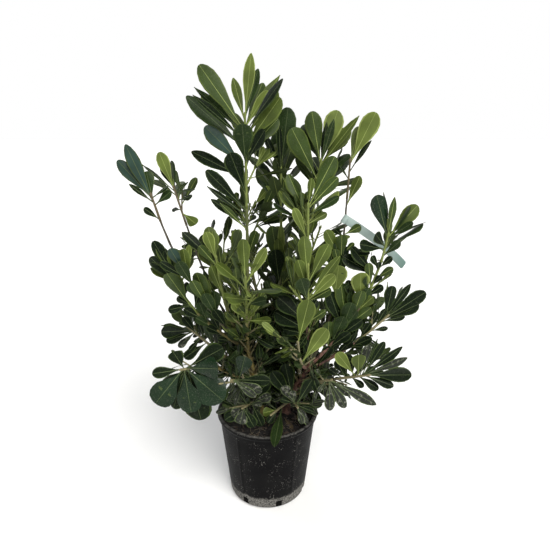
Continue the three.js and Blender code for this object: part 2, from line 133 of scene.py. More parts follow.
class Wire:
    """A socket of a material. Arithmetic on it adds a Math node and gives that node's result."""

    def __init__(self, socket):
        self.socket = socket

    def node(self, kind, settings=None, inputs=None, output=0):
        """Add a node of any type. Its settings are set first, then its sockets' values or links."""
        made = self.socket.id_data.nodes.new(kind)
        for name, value in (settings or {}).items():
            setattr(made, name, value)
        for name, value in (inputs or {}).items():
            plug(made.inputs[name], value)
        return Wire(made.outputs[output])

    def math(self, operation, first, second):
        return self.node("ShaderNodeMath", {"operation": operation}, {0: first, 1: second})

    def __add__(self, other):
        return self.math("ADD", self, other)

    def __sub__(self, other):
        return self.math("SUBTRACT", self, other)

    def __rsub__(self, other):
        return self.math("SUBTRACT", other, self)

    def __mul__(self, other):
        return self.math("MULTIPLY", self, other)

    __radd__ = __add__
    __rmul__ = __mul__

    def axis(self, index):
        """One of the three numbers of a place or direction."""
        return self.node("ShaderNodeSeparateXYZ", None, {"Vector": self}, index)

    def rise(self, low, high):
        """0 below low and 1 above high, with a smooth ramp between."""
        inputs = {"Value": self, "From Min": low, "From Max": high}
        return self.node("ShaderNodeMapRange", {"interpolation_type": "SMOOTHSTEP"}, inputs)

    def noise(self, size, detail=2.0):
        """Soft cloudy values about 0.5, on coordinates, with lumps of a size in millimetres."""
        inputs = {"Vector": self, "Scale": 1 / (size * MM), "Detail": detail}
        return self.node("ShaderNodeTexNoise", None, inputs)

    def blend(self, low, high):
        """A colour that goes from low to high with this mask."""
        return self.node("ShaderNodeMix", {"data_type": "RGBA"}, {0: self, 6: low, 7: high}, 2)

    def bump(self, depth):
        """A normal that follows this height, for relief of a depth in millimetres."""
        return self.node("ShaderNodeBump", None, {"Height": self, "Distance": depth * MM, "Strength": 1.0})


def tone(red, green, blue):
    """A screen colour, 0 to 255, as the linear light that a shader works in."""
    share = np.array([red, green, blue]) / 255
    light = np.where(share <= 0.04045, share / 12.92, ((share + 0.055) / 1.055) ** 2.4)
    return [float(x) for x in light] + [1.0]


def finish(name, roughness, **patterns):
    """A material with one shader, an even roughness, and patterns that read Object coordinates.

    Each pattern is a function from the coordinates to what its socket takes, or a plain value.
    """
    material = bpy.data.materials.new(name)
    material.use_nodes = True
    tree = material.node_tree
    shader = tree.nodes["Principled BSDF"]
    shader.inputs["Roughness"].default_value = roughness
    place = Wire(tree.nodes.new("ShaderNodeTexCoord").outputs["Object"])
    for socket, pattern in patterns.items():
        plug(shader.inputs[socket.replace("_", " ")], pattern(place) if callable(pattern) else pattern)
    return material

# %% [markdown]
# ## The pot
# A nursery pot is thin black plastic, moulded in one piece: a tapered wall, a rolled lip to lift it by, a
# rounded foot with drain notches, and a few shallow ribs. It could be turned with a Screw modifier and cut
# with booleans. A grid of profile times angle does the same and stays tidy, because a notch is only a
# place where the radius is held back. The columns lie closer at the edges of the notches.

# %% Pot shape
POT_HEIGHT, RIM_RADIUS, LIP_REACH, LIP_HEIGHT = 181, 100, 4, 9
FOOT_RADIUS, FOOT_ROUND, WALL, FLOOR = 77, 9, 2.4, 3
NOTCHES, NOTCH_WIDTH, NOTCH_HEIGHT, FIRST_NOTCH = 7, 13, 19, -124
NOTCH_ARCH, NOTCH_SKIN = 2.5, 0.3  # how far its top curves down, and the plastic left at its back
NOTCH_ROWS = [-8, -5, -2.5, -1.5, -0.6, 0.2, 1]  # rows of points close to its top, up from there
RIBS, FIRST_RIB, RIB_HEIGHT, RIB_WIDTH = 5, -126, 1.5, 2.2
RIB_FROM, RIB_TO, RIB_FADE = 20, 169, 12
# The roll of the lip: out from the rim's radius and up from the pot's height.
LIP = [[-2.8, -8.7], [-0.8, -7.8], [0, -6], [0, -3], [-0.7, -1], [-2.4, 0], [-4.4, -0.1], [-5.8, -0.8]]


def pot_inner_radius(z):
    return FOOT_RADIUS + (RIM_RADIUS - LIP_REACH - FOOT_RADIUS) * z / POT_HEIGHT - WALL


def pot_profile():
    """Radius and height: of the outside, from the middle of the underside up, and of lip and inside."""
    foot_edge, wall_top = FOOT_RADIUS + 1, RIM_RADIUS - LIP_REACH - 0.5
    lip_foot = POT_HEIGHT - LIP_HEIGHT
    bend = np.linspace(0, np.pi / 2, 7)
    foot = np.stack([foot_edge - FOOT_ROUND * (1 - np.sin(bend)), FOOT_ROUND * (1 - np.cos(bend))], 1)
    notch_z = NOTCH_HEIGHT + np.array(NOTCH_ROWS)
    wall_z = np.concatenate([notch_z, np.linspace(NOTCH_HEIGHT + 5, lip_foot, 30)])
    climb = (wall_z - FOOT_ROUND) / (lip_foot - FOOT_ROUND)
    wall = np.stack([foot_edge + (wall_top - foot_edge) * climb, wall_z], 1)
    lip = np.array(LIP) + [RIM_RADIUS, POT_HEIGHT]
    inside_z = np.array([178, 172, 160, 120, 60, 12, FLOOR])
    inside = np.stack([pot_inner_radius(inside_z), inside_z], 1)
    outer = np.concatenate([[[24, 0], [50, 0]], foot, wall])
    return outer, np.concatenate([lip, inside, [[40, FLOOR], [20, FLOOR]]])


def pot_columns():
    """Angles round the pot, in degrees: closer at the sides of each notch, even between them."""
    half = np.degrees(NOTCH_WIDTH / 2 / FOOT_RADIUS)
    notch = half * np.array([-1.16, -1.04, -0.96, -0.8, -0.4, 0, 0.4, 0.8, 0.96, 1.04, 1.16])
    sector = 360 / NOTCHES
    between = np.linspace(notch[-1], sector + notch[0], 24)[1:-1]
    starts = FIRST_NOTCH + sector * np.arange(NOTCHES)
    return (starts[:, None] + np.concatenate([notch, between])).ravel()


def pot_points():
    """Profile times angle, with ribs added to the wall's radius and notches held back from it."""
    outer, inner = pot_profile()
    profile, angle = np.concatenate([outer, inner]), pot_columns()
    radius = np.repeat(profile[:, :1], len(angle), axis=1)
    height = np.repeat(profile[:, 1:], len(angle), axis=1)
    outside = (np.arange(len(profile)) < len(outer))[:, None]
    aside = (angle[:, None] - FIRST_RIB - 360 / RIBS * np.arange(RIBS) + 180) % 360 - 180
    rib = np.exp(-(np.radians(aside) * RIM_RADIUS / RIB_WIDTH) ** 2).sum(axis=1)
    fade = np.clip((height - RIB_FROM) / RIB_FADE, 0, 1) * np.clip((RIB_TO - height) / RIB_FADE, 0, 1)
    radius = radius + RIB_HEIGHT * rib * fade * outside
    across = (angle - FIRST_NOTCH + 180 / NOTCHES) % (360 / NOTCHES) - 180 / NOTCHES
    reach = np.radians(across) * FOOT_RADIUS / (NOTCH_WIDTH / 2)
    arch = NOTCH_HEIGHT - NOTCH_ARCH * np.minimum(np.abs(reach), 1) ** 4
    notch = (np.abs(reach) < 1) & (height < arch) & outside
    radius = np.where(notch, np.minimum(radius, pot_inner_radius(height) + NOTCH_SKIN), radius)
    turn = np.radians(angle)
    points = np.stack([radius * np.cos(turn), radius * np.sin(turn), height], axis=-1)
    return points.reshape(-1, 3), notch


def capped(rows, columns):
    """Faces of a grid that is closed round, with a flat cap on its first and last rows."""
    ends = [list(range(columns))[::-1], list(range((rows - 1) * columns, rows * columns))]
    return quads(rows, columns, closed=True).tolist() + ends

# %% [markdown]
# ### Black plastic with dust
# The plastic is near black and half matt. Splashes from watering leave grey dust in a band round the foot,
# lighter specks higher up, and the lip is scuffed pale where hands and trays touch it. Each of these is a
# mask from height and noise that blends a paler colour in, and dusty places are rougher.

# %% Pot finish and piece
def pot_dust(place):
    """Where dust lies: a ragged band at the foot, specks on the wall, and wear on the lip."""
    height = place.axis(2)
    ragged = height + place.noise(16, 5) * 0.022
    band = (1 - ragged.rise(0.034, 0.041)) * place.noise(3, 4).rise(0.24, 0.7)
    specks = place.noise(2.2, 1).rise(0.66, 0.71) * place.noise(30, 2).rise(0.42, 0.62)
    worn = height.rise(0.178, 0.1805) * place.noise(7, 4).rise(0.3, 0.62)
    return band * 0.85 + specks * 0.7 + worn * 0.35


def pot_colour(place):
    shade = place.noise(45, 3).rise(0.3, 0.7).blend(tone(5, 5, 6), tone(13, 13, 13))
    return pot_dust(place).blend(shade, tone(126, 124, 119))


black_plastic = finish("dusty_black_plastic", 0.5, Specular_IOR_Level=0.06, Base_Color=pot_colour,
                       Roughness=lambda place: place.noise(20, 3) * 0.2 + pot_dust(place) * 0.3 + 0.42,
                       Normal=lambda place: (place.noise(1.2, 3) + pot_dust(place) * 0.4).bump(0.25))
# Drain notches show a near-black back, darker than the potting mix itself: painted shade of the pot's
# inside.
notch_painted_shade = finish("notch_painted_shade", 0.95, Specular_IOR_Level=0.1,
                  Base_Color=lambda place: place.noise(4, 4).blend(tone(2, 2, 2), tone(9, 8, 7)))
points, notch = pot_points()
faces = capped(*notch.shape)
inside_notch = notch.ravel()[np.array(faces[:-2])].all(axis=1)
pot = piece("nursery_pot", points, faces, [black_plastic, notch_painted_shade], [*inside_notch, False, False])
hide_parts("pot")

# %% [markdown]
# ## Ripples for natural surfaces
# Bark, soil and crumpled litter all need relief that looks random but is the same on every run. A sum of
# sine waves with random headings is enough, works on whole arrays of points at once, and needs no texture.

# %% Ripple relief
def ripple(points, size, seed, waves=9):
    """About -1 to 1: the sum of plane sine waves, each a size long, with random headings and phases."""
    rng = np.random.default_rng(seed)
    way = rng.normal(size=(3, waves))
    way *= rng.uniform(0.6, 1.6, waves) * 2 * np.pi / size / np.linalg.norm(way, axis=0)
    return np.sin(points @ way + rng.uniform(0, 2 * np.pi, waves)).sum(axis=-1) * 1.4 / waves ** 0.5 / 1.5

# %% [markdown]
# ## The potting mix
# The mix is dark, lumpy bark and peat that has sunk below the lip. It is turned from a profile like the
# pot, and only its top rows are lifted by three sizes of ripple: mounds, lumps and crumbs.

# %% Soil shape and finish
SOIL_TOP = POT_HEIGHT - 17
SOIL_GAP, SOIL_SINK = 0.6, 1.5  # room at the wall, and how far the mean level lies below the top
LUMPS = [(2.2, 60), (1.6, 14), (0.9, 5)]  # height and size of mounds, lumps and crumbs


def soil_relief(points):
    """How far mounds, lumps and crumbs lift the top of the mix."""
    return sum(lift * ripple(points, size, seed) for seed, (lift, size) in enumerate(LUMPS, 1))


def soil_points(columns=180):
    """Profile times angle: underside, wall side, then the top from its edge to the middle."""
    low, middle = FLOOR + 0.3, 80
    edge = pot_inner_radius(SOIL_TOP) - SOIL_GAP
    side_radius = [20, 60, pot_inner_radius(low) - SOIL_GAP, pot_inner_radius(middle) - SOIL_GAP, edge - 0.4]
    side_height = [low, low, low, middle, SOIL_TOP - 6]
    top_radius = np.linspace(edge - 1, 3, 52)
    radius = np.concatenate([side_radius, top_radius])
    height = np.concatenate([side_height, np.full(len(top_radius), SOIL_TOP - SOIL_SINK)])
    turn = 2 * np.pi * np.arange(columns) / columns
    points = np.stack([radius[:, None] * np.cos(turn), radius[:, None] * np.sin(turn),
                       np.repeat(height[:, None], columns, axis=1)], axis=-1)
    top = points[len(side_radius):]
    room = edge - np.linalg.norm(top[..., :2], axis=-1)
    top[..., 2] += soil_relief(top) * np.minimum(1, room / 6 + 0.3)
    return points.reshape(-1, 3), len(radius), columns


def mix_colour(place):
    return place.noise(7, 6).rise(0.32, 0.72).blend(tone(10, 9, 8), tone(36, 31, 26))


lumpy_mix = finish("lumpy_mix", 0.95, Base_Color=mix_colour,
                   Normal=lambda place: place.noise(3, 6).bump(1.5))
points, rows, columns = soil_points()
soil = piece("potting_mix", points, capped(rows, columns), [lumpy_mix])
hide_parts("soil")

# %% [markdown]
# ## How the plant grows
# The solids were grown by a rule: three stems, a shoot for each rosette, and golden-angle leaves. Leaves
# in Blender have to lie on the same limbs, so the rule is written again here with the same numbers. The
# curves are Bezier curves sampled finely, and a place on one is a share of its length.

# %% Stems and shoots
UP = np.array([0.0, 0.0, 1.0])
GAP = 0.3
FORK, EASE, OUTWARD = 0.5, 0.36, 0.35  # where a shoot forks, how far its bends reach, how it leans at first
Stem = namedtuple("Stem", "foot tip height foot_radius tip_radius")
STEMS = {
    "right": Stem((38, 12), (78, -22), 118, 6.6, 4.4),
    "left": Stem((-14, 2), (-36, -30), 165, 6.2, 4.2),
    "back": Stem((8, 36), (2, 52), 175, 6.4, 4.2),
}
Shoot = namedtuple("Shoot", "name stem azimuth reach height upturn bough whorls twigs twig_length leaf")
SHOOTS = [Shoot(*row) for row in [
    ("leader", "left", 164, 37, 736, 1, 0.62, 2, 2, 60, 112),
    ("right_leader", "back", 22, 105, 660, 0.9, 0.66, 2, 1, 60, 100),
    ("centre_leader", "back", 66, 64, 645, 0.95, 0.66, 2, 1, 60, 98),
    ("right_spire", "right", -4, 142, 662, 0.95, 0.84, 1, 0, 0, 94),
    ("left_spire", "left", -147, 204, 618, 0.8, 0.88, 1, 0, 0, 84),
    ("left_second", "left", 171, 168, 614, 0.75, 0.78, 1, 1, 40, 76),
    ("centre_right", "right", -46, 98, 597, 0.85, 0.7, 1, 2, 55, 94),
    ("right_shoulder", "right", -8, 212, 540, 0.9, 0.52, 1, 4, 60, 88),
    ("left_shoulder", "left", -160, 164, 478, 0.9, 0.6, 1, 3, 58, 76),
    ("left_low", "left", -140, 184, 330, -0.1, 0.7, 1, 2, 34, 88),
    ("right_low", "right", -20, 194, 290, 0.15, 0.55, 1, 3, 54, 78),
    ("right_middle", "right", -2, 224, 380, 0.5, 0.58, 1, 3, 58, 84),
    ("left_middle", "left", 178, 150, 352, 0.45, 0.6, 1, 3, 50, 68),
    ("front_left", "left", -140, 108, 510, 0.9, 0.6, 1, 3, 58, 78),
    ("front_centre", "left", -106, 116, 487, 0.85, 0.6, 1, 3, 60, 78),
    ("front_right", "right", -60, 134, 509, 0.85, 0.6, 1, 3, 60, 82),
    ("front_low", "right", -72, 164, 396, 0.7, 0.55, 1, 3, 58, 78),
    ("front_low_left", "left", -112, 150, 322, 0.3, 0.55, 1, 3, 58, 70),
    ("front_low_right", "right", -42, 150, 300, 0.3, 0.6, 1, 3, 50, 68),
    ("back_high", "back", 118, 92, 575, 0.9, 0.62, 1, 3, 60, 84),
    ("back_right", "back", 50, 168, 520, 0.7, 0.58, 1, 3, 64, 84),
    ("back_left", "back", 142, 160, 500, 0.7, 0.58, 1, 3, 64, 82),
    ("back_low", "back", 95, 175, 380, 0.45, 0.56, 1, 3, 62, 78),
    ("back_low_right", "back", 42, 182, 320, 0.3, 0.58, 1, 3, 58, 76),
    ("back_low_left", "back", 140, 178, 315, 0.3, 0.58, 1, 3, 58, 76),
    ("skirt_left", "left", -118, 92, 232, 0.2, 0, 1, 2, 45, 64),
    ("skirt_right", "right", -58, 104, 238, 0.25, 0, 1, 2, 45, 64),
    ("rim_sprig", "right", -82, 62, 205, 0.1, 0, 1, 0, 0, 62),
]]


def unit(vectors):
    return vectors / np.linalg.norm(vectors, axis=-1, keepdims=True)


def mix(low, high, share):
    return low + (high - low) * share


def heading(azimuth):
    turn = np.radians(azimuth)
    return np.array([np.cos(turn), np.sin(turn), 0.0])


def bezier(a, b, c, d, count=400):
    """Points of the cubic curve that starts at a towards b and arrives at d from c."""
    t = np.linspace(0, 1, count + 1)[:, None]
    return a * (1 - t) ** 3 + 3 * b * t * (1 - t) ** 2 + 3 * c * t ** 2 * (1 - t) + d * t ** 3


def distances(path):
    """How far along a path each of its points is."""
    return np.concatenate([[0.0], np.cumsum(np.linalg.norm(np.diff(path, axis=0), axis=1))])


def at_share(path, share):
    """Points at shares of a path's length."""
    far = distances(path)
    return np.stack([np.interp(np.asarray(share) * far[-1], far, path[:, k]) for k in range(3)], axis=-1)


def stem_path(stem):
    """Upright at its foot on the mix, then leaning over to its tip."""
    start = np.array([*stem.foot, SOIL_TOP + GAP])
    end = np.array([*stem.tip, SOIL_TOP + stem.height])
    return bezier(start, start + UP * stem.height * 0.3, mix(start, end, 0.7), end)


def shoot_run(shoot):
    """From its stem, higher up for a taller shoot, leaning outward first and then to its rosette."""
    rosette = heading(shoot.azimuth) * shoot.reach + UP * shoot.height
    stem = STEMS[shoot.stem]
    fork = min(1, FORK * (shoot.height - SOIL_TOP) / stem.height)
    start = at_share(stem_path(stem), fork)
    chord = rosette - start
    outward = unit(chord * [1, 1, 0])
    ease = np.linalg.norm(chord) * EASE
    leaving = unit(unit(chord) + outward * OUTWARD)
    arriving = unit(mix(outward, UP, shoot.upturn))
    return bezier(start, start + leaving * ease, rosette - arriving * ease, rosette)


runs = {shoot.name: shoot_run(shoot) for shoot in SHOOTS}
print("shoots:", len(runs), "longest run", round(max(distances(run)[-1] for run in runs.values())), "mm")

# %% [markdown]
# ## Stems and boughs
# Young pittosporum bark is thin: smooth and green on new wood, then brown or olive with small warts and
# the rings of old leaf scars. A limb could be a curve with a bevel, but a mesh of rings lets the relief be
# real shape: each ring's radius is changed by ripples, by scar rings along the way and, at the soil, by
# the lobes of the root flare.

# %% Limb shape
STEM_RINGS, STEM_SIDES, STEM_ROOT = 60, 14, 6  # the root is sunk in the mix
FLARE, FLARE_HEIGHT, LOBES, LOBE_DEPTH = 0.7, 14, 3, 0.25
BOUGH_RADII, BOUGH_STEP, BOUGH_SIDES = (3.5, 2.6), 6, 9
THIN_SHOOTS = {"left_spire": 0.62, "right_spire": 0.62, "left_second": 0.68}  # share of the radius
SCARS = {"stem": (0.07, 21), "bough": (0.09, 17), "twig": (0.1, 9)}  # share of the radius, and spacing
SCAR_LENGTH = 1.6


def tube(path, radii, sides, relief=None):
    """Rings round a path, closed by a flat cap at each end.

    A ring's point is centre + radius (side cos turn + front sin turn). Side is the level direction
    across the path's chord, made square to the heading at each ring. Relief, a function of points,
    swells the radius by a share.
    """
    ahead = unit(np.gradient(path, axis=0))
    chord = path[-1] - path[0]
    level = unit(np.cross(UP + [0.01, 0, 0], chord))
    side = unit(level - ahead * (ahead @ level)[:, None])
    front = np.cross(ahead, side)
    turn = 2 * np.pi * np.arange(sides) / sides
    spokes = side[:, None] * np.cos(turn)[:, None] + front[:, None] * np.sin(turn)[:, None]
    radii = np.asarray(radii).reshape(len(path), -1, 1)
    points = path[:, None] + spokes * radii
    if relief is not None:
        points = points + spokes * radii * relief(points)[..., None]
    return points.reshape(-1, 3), capped(len(path), sides)


def scars(path, kind, seed):
    """A factor for the radius of each ring: low swellings where leaves once grew, unevenly spaced."""
    height, spacing = SCARS[kind]
    far = distances(path)
    places = np.arange(spacing, far[-1] + spacing, spacing)
    places = places + np.random.default_rng(seed).uniform(-0.3, 0.3, len(places)) * spacing
    return 1 + height * np.exp(-((far[:, None] - places) / SCAR_LENGTH) ** 2).sum(axis=1)


def bark_relief(seed):
    return lambda points: 0.07 * ripple(points, 11, seed) + 0.05 * ripple(points, 3.5, seed + 1)


def stem_part(stem, seed):
    """A stem's rings: taper, root flare with a few lobes, and scars."""
    path = at_share(stem_path(stem), np.linspace(-0.03, 1, STEM_RINGS).clip(0))
    path[0] -= UP * STEM_ROOT
    share = np.linspace(0, 1, STEM_RINGS)
    flare = FLARE * np.exp(-share * stem.height / FLARE_HEIGHT)
    turn = 2 * np.pi * np.arange(STEM_SIDES) / STEM_SIDES
    lobes = 1 + LOBE_DEPTH * flare[:, None] * np.cos(LOBES * turn + seed)
    taper = mix(stem.foot_radius, stem.tip_radius, share) * (1 + flare) * scars(path, "stem", seed)
    return *tube(path, taper[:, None] * lobes, STEM_SIDES, bark_relief(seed)), 0


def bough_part(shoot, seed):
    """A bough's rings: the first share of its shoot's run. A thin shoot has the second finish."""
    run = runs[shoot.name]
    count = max(8, int(distances(run)[-1] * shoot.bough / BOUGH_STEP))
    path = at_share(run, np.linspace(0, shoot.bough, count))
    share = np.linspace(0, 1, count)
    taper = mix(*BOUGH_RADII, share) * mix(1, THIN_SHOOTS.get(shoot.name, 1), np.minimum(1, share * 2.5))
    rings = tube(path, taper * scars(path, "bough", seed), BOUGH_SIDES, bark_relief(seed))
    return *rings, int(shoot.name in THIN_SHOOTS)

# %% [markdown]
# ### Bark
# Three barks tell the stems apart, as on the real plant: reddish brown on the right, yellowish olive on
# the left, and grey brown at the back. Each drifts between two tones in patches along the limb and has
# tiny pale warts. Higher up the wood is younger, so the colour turns green.

# %% Bark finishes and limb pieces
def bark(name, dark, light, young):
    """Patches of two tones and pale warts, turning to the young tone between two heights."""
    def colour(place):
        height = place.axis(2)
        patches = place.noise(9, 4).rise(0.34, 0.66).blend(dark, light)
        warts = place.noise(1.6, 1).rise(0.64, 0.72) * 0.5
        warty = warts.blend(patches, tone(150, 132, 108))
        age = (height + place.noise(25, 2) * 0.12).rise(0.36, 0.56)
        return age.blend(warty, young)
    return finish(name, 0.72, Base_Color=colour, Normal=lambda place: place.noise(2.2, 4).bump(0.5))


GREEN_WOOD = tone(84, 92, 48)
BARKS = {
    "right": bark("bark_reddish", tone(66, 44, 38), tone(118, 84, 70), tone(70, 68, 44)),
    "left": bark("bark_olive", tone(74, 66, 38), tone(136, 122, 66), GREEN_WOOD),
    "back": bark("bark_grey", tone(56, 47, 38), tone(108, 94, 74), GREEN_WOOD),
}
dark_wood = finish("dark_wood", 0.65, Normal=lambda place: place.noise(2, 3).bump(0.3),
                   Base_Color=lambda place: place.noise(8, 3).blend(tone(38, 34, 27), tone(74, 66, 48)))
for side, stem in STEMS.items():
    grown = [shoot for shoot in SHOOTS if shoot.stem == side and shoot.bough > 0]
    parts = [stem_part(stem, len(side))] + [bough_part(shoot, k + 40) for k, shoot in enumerate(grown)]
    points, faces, slots = join(parts)
    limbs = piece(f"{side}_stem_and_boughs", points, faces, [BARKS[side], dark_wood], slots)
    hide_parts(f"stem_{side}", *[f"bough_{shoot.name}" for shoot in grown])

# %% [markdown]
# ## Leaf places
# Each shoot draws its numbers from the same seeded row as the solids, so its leaves come out in the same
# places. A solid leaf had three turns to choose from and took the first with room. Which one it took is
# read off the solid: the leaf's tip corners are looked for among the node's points. A leaf that found no
# room there still grows here, because real leaves may touch.

# %% The growth rule
SEED = 20
GOLDEN = 137.5
SHIFTS = np.array([0.0, 34.0, -34.0])
ROSETTE_DEPTH, YOUNGEST, OUTER_TILT = 30, 0.82, (80, 58)
TURN_PLAY, TILT_PLAY, SIZE_PLAY = 12, 9, (0.86, 1.1)  # what the draws change
ROOT_OUT = 0.1  # from the limb's axis
TWIG_TILT, TWIG_LIFT = 48, 0.4
SPAN = 2 ** 32


def seeded(seed):
    """The source's row of random numbers from 0 to 1: a multiply and an add, kept to 32 bits."""
    while True:
        seed = (seed * 1664525 + 1013904223) % SPAN
        yield seed / SPAN


def back_from(limb, back):
    """Places and axes at distances back from a limb's tip, along the straight runs of its points."""
    far = distances(limb)
    spot = far[-1] - np.asarray(back)
    run = np.clip(np.searchsorted(far, spot, side="left") - 1, 0, len(limb) - 2)
    axis = unit(np.diff(limb, axis=0))[run]
    return limb[run] + axis * (spot - far[run])[:, None], axis


Leaves = namedtuple("Leaves", "root along up length share")


def leaf_frames(limb, back, turn, tilt, length, share):
    """Leaves on a limb: turn about its axis and tilt from it, in degrees. Turns may have choices."""
    place, axis = back_from(limb, back)
    flat = np.stack([-axis[:, 1], axis[:, 0], np.full(len(axis), 0.01)], axis=-1)
    side = unit(np.cross(flat, axis))
    front = np.cross(axis, side)
    turn, tilt = np.radians(turn)[..., None], np.radians(tilt)[:, None, None]
    spoke = side[:, None] * np.cos(turn) + front[:, None] * np.sin(turn)
    along = axis[:, None] * np.cos(tilt) + spoke * np.sin(tilt)
    up = axis[:, None] * np.sin(tilt) - spoke * np.cos(tilt)
    return Leaves(place[:, None] + spoke * ROOT_OUT, along, up, length, share)


def rosette(limb, back, upturn, inner_tilt, count, leaf, draw):
    """The source's rosette: golden-angle turns, from the outermost, most tilted leaf to the youngest."""
    first = next(draw) * 360
    chance = np.array([next(draw) for _ in range(3 * count)]).reshape(count, 3)
    share = np.arange(count) / (count - 1)
    turn = first + GOLDEN * np.arange(count) + mix(-TURN_PLAY, TURN_PLAY, chance[:, 0])
    tilt = mix(mix(*OUTER_TILT, upturn), inner_tilt, share) + mix(-TILT_PLAY, TILT_PLAY, chance[:, 1])
    length = leaf * mix(1, YOUNGEST, share) * mix(*SIZE_PLAY, chance[:, 2])
    back = back + mix(ROSETTE_DEPTH, 1, share)
    return leaf_frames(limb, back, turn[:, None] + SHIFTS, tilt, length, share)


def side_twig(limb, back, turn, length):
    """A straight twig that leaves a limb sideways, lifted a little."""
    place, axis = (x[0] for x in back_from(limb, [back]))
    spoke = heading(turn)
    spoke = unit(spoke - axis * (spoke @ axis))
    tilt = np.radians(TWIG_TILT)
    leaving = unit(axis * np.cos(tilt) + spoke * np.sin(tilt) + UP * TWIG_LIFT)
    return np.stack([place, place + leaving * length])

# %% [markdown]
# ### Leaves that catch the eye
# Along the outline and at the front of the crown single leaves can be told apart, and a random draw never
# gets those right. They are placed one by one. Where each tip is seen was read off the picture, in its
# pixels.
# Darker leaves between them close places that the picture shows dark: their near-black green is a deep green
# with painted shade. A leaf that starts far back from the shoot's tip grows on the bare bough.

# %% Standing leaves
EYE = np.array([15.0, -824.0, 716.0])
PITCH, FOCAL, FRAME = 17.3, 470, 550  # degrees down, and pixels
FRONT = np.array([0.0, -0.96, 0.28])
# Greens of leaves: the fresh yellow-green is partly young growth and partly painted sunlight, the bluish
# green is a painted reflection of the sky, and the darkest green is a deep green with painted shade.
FRESH_SUNLIT, OLIVE, MID, DEEP, GREEN, DARK_SHADE, BLUISH_SHEEN, DUSTY, RIB, DULL_RIB, UNDER, DULL_UNDER = range(12)
Spray = namedtuple("Spray", "shoot limb leaves order tint width", defaults=[None, None])
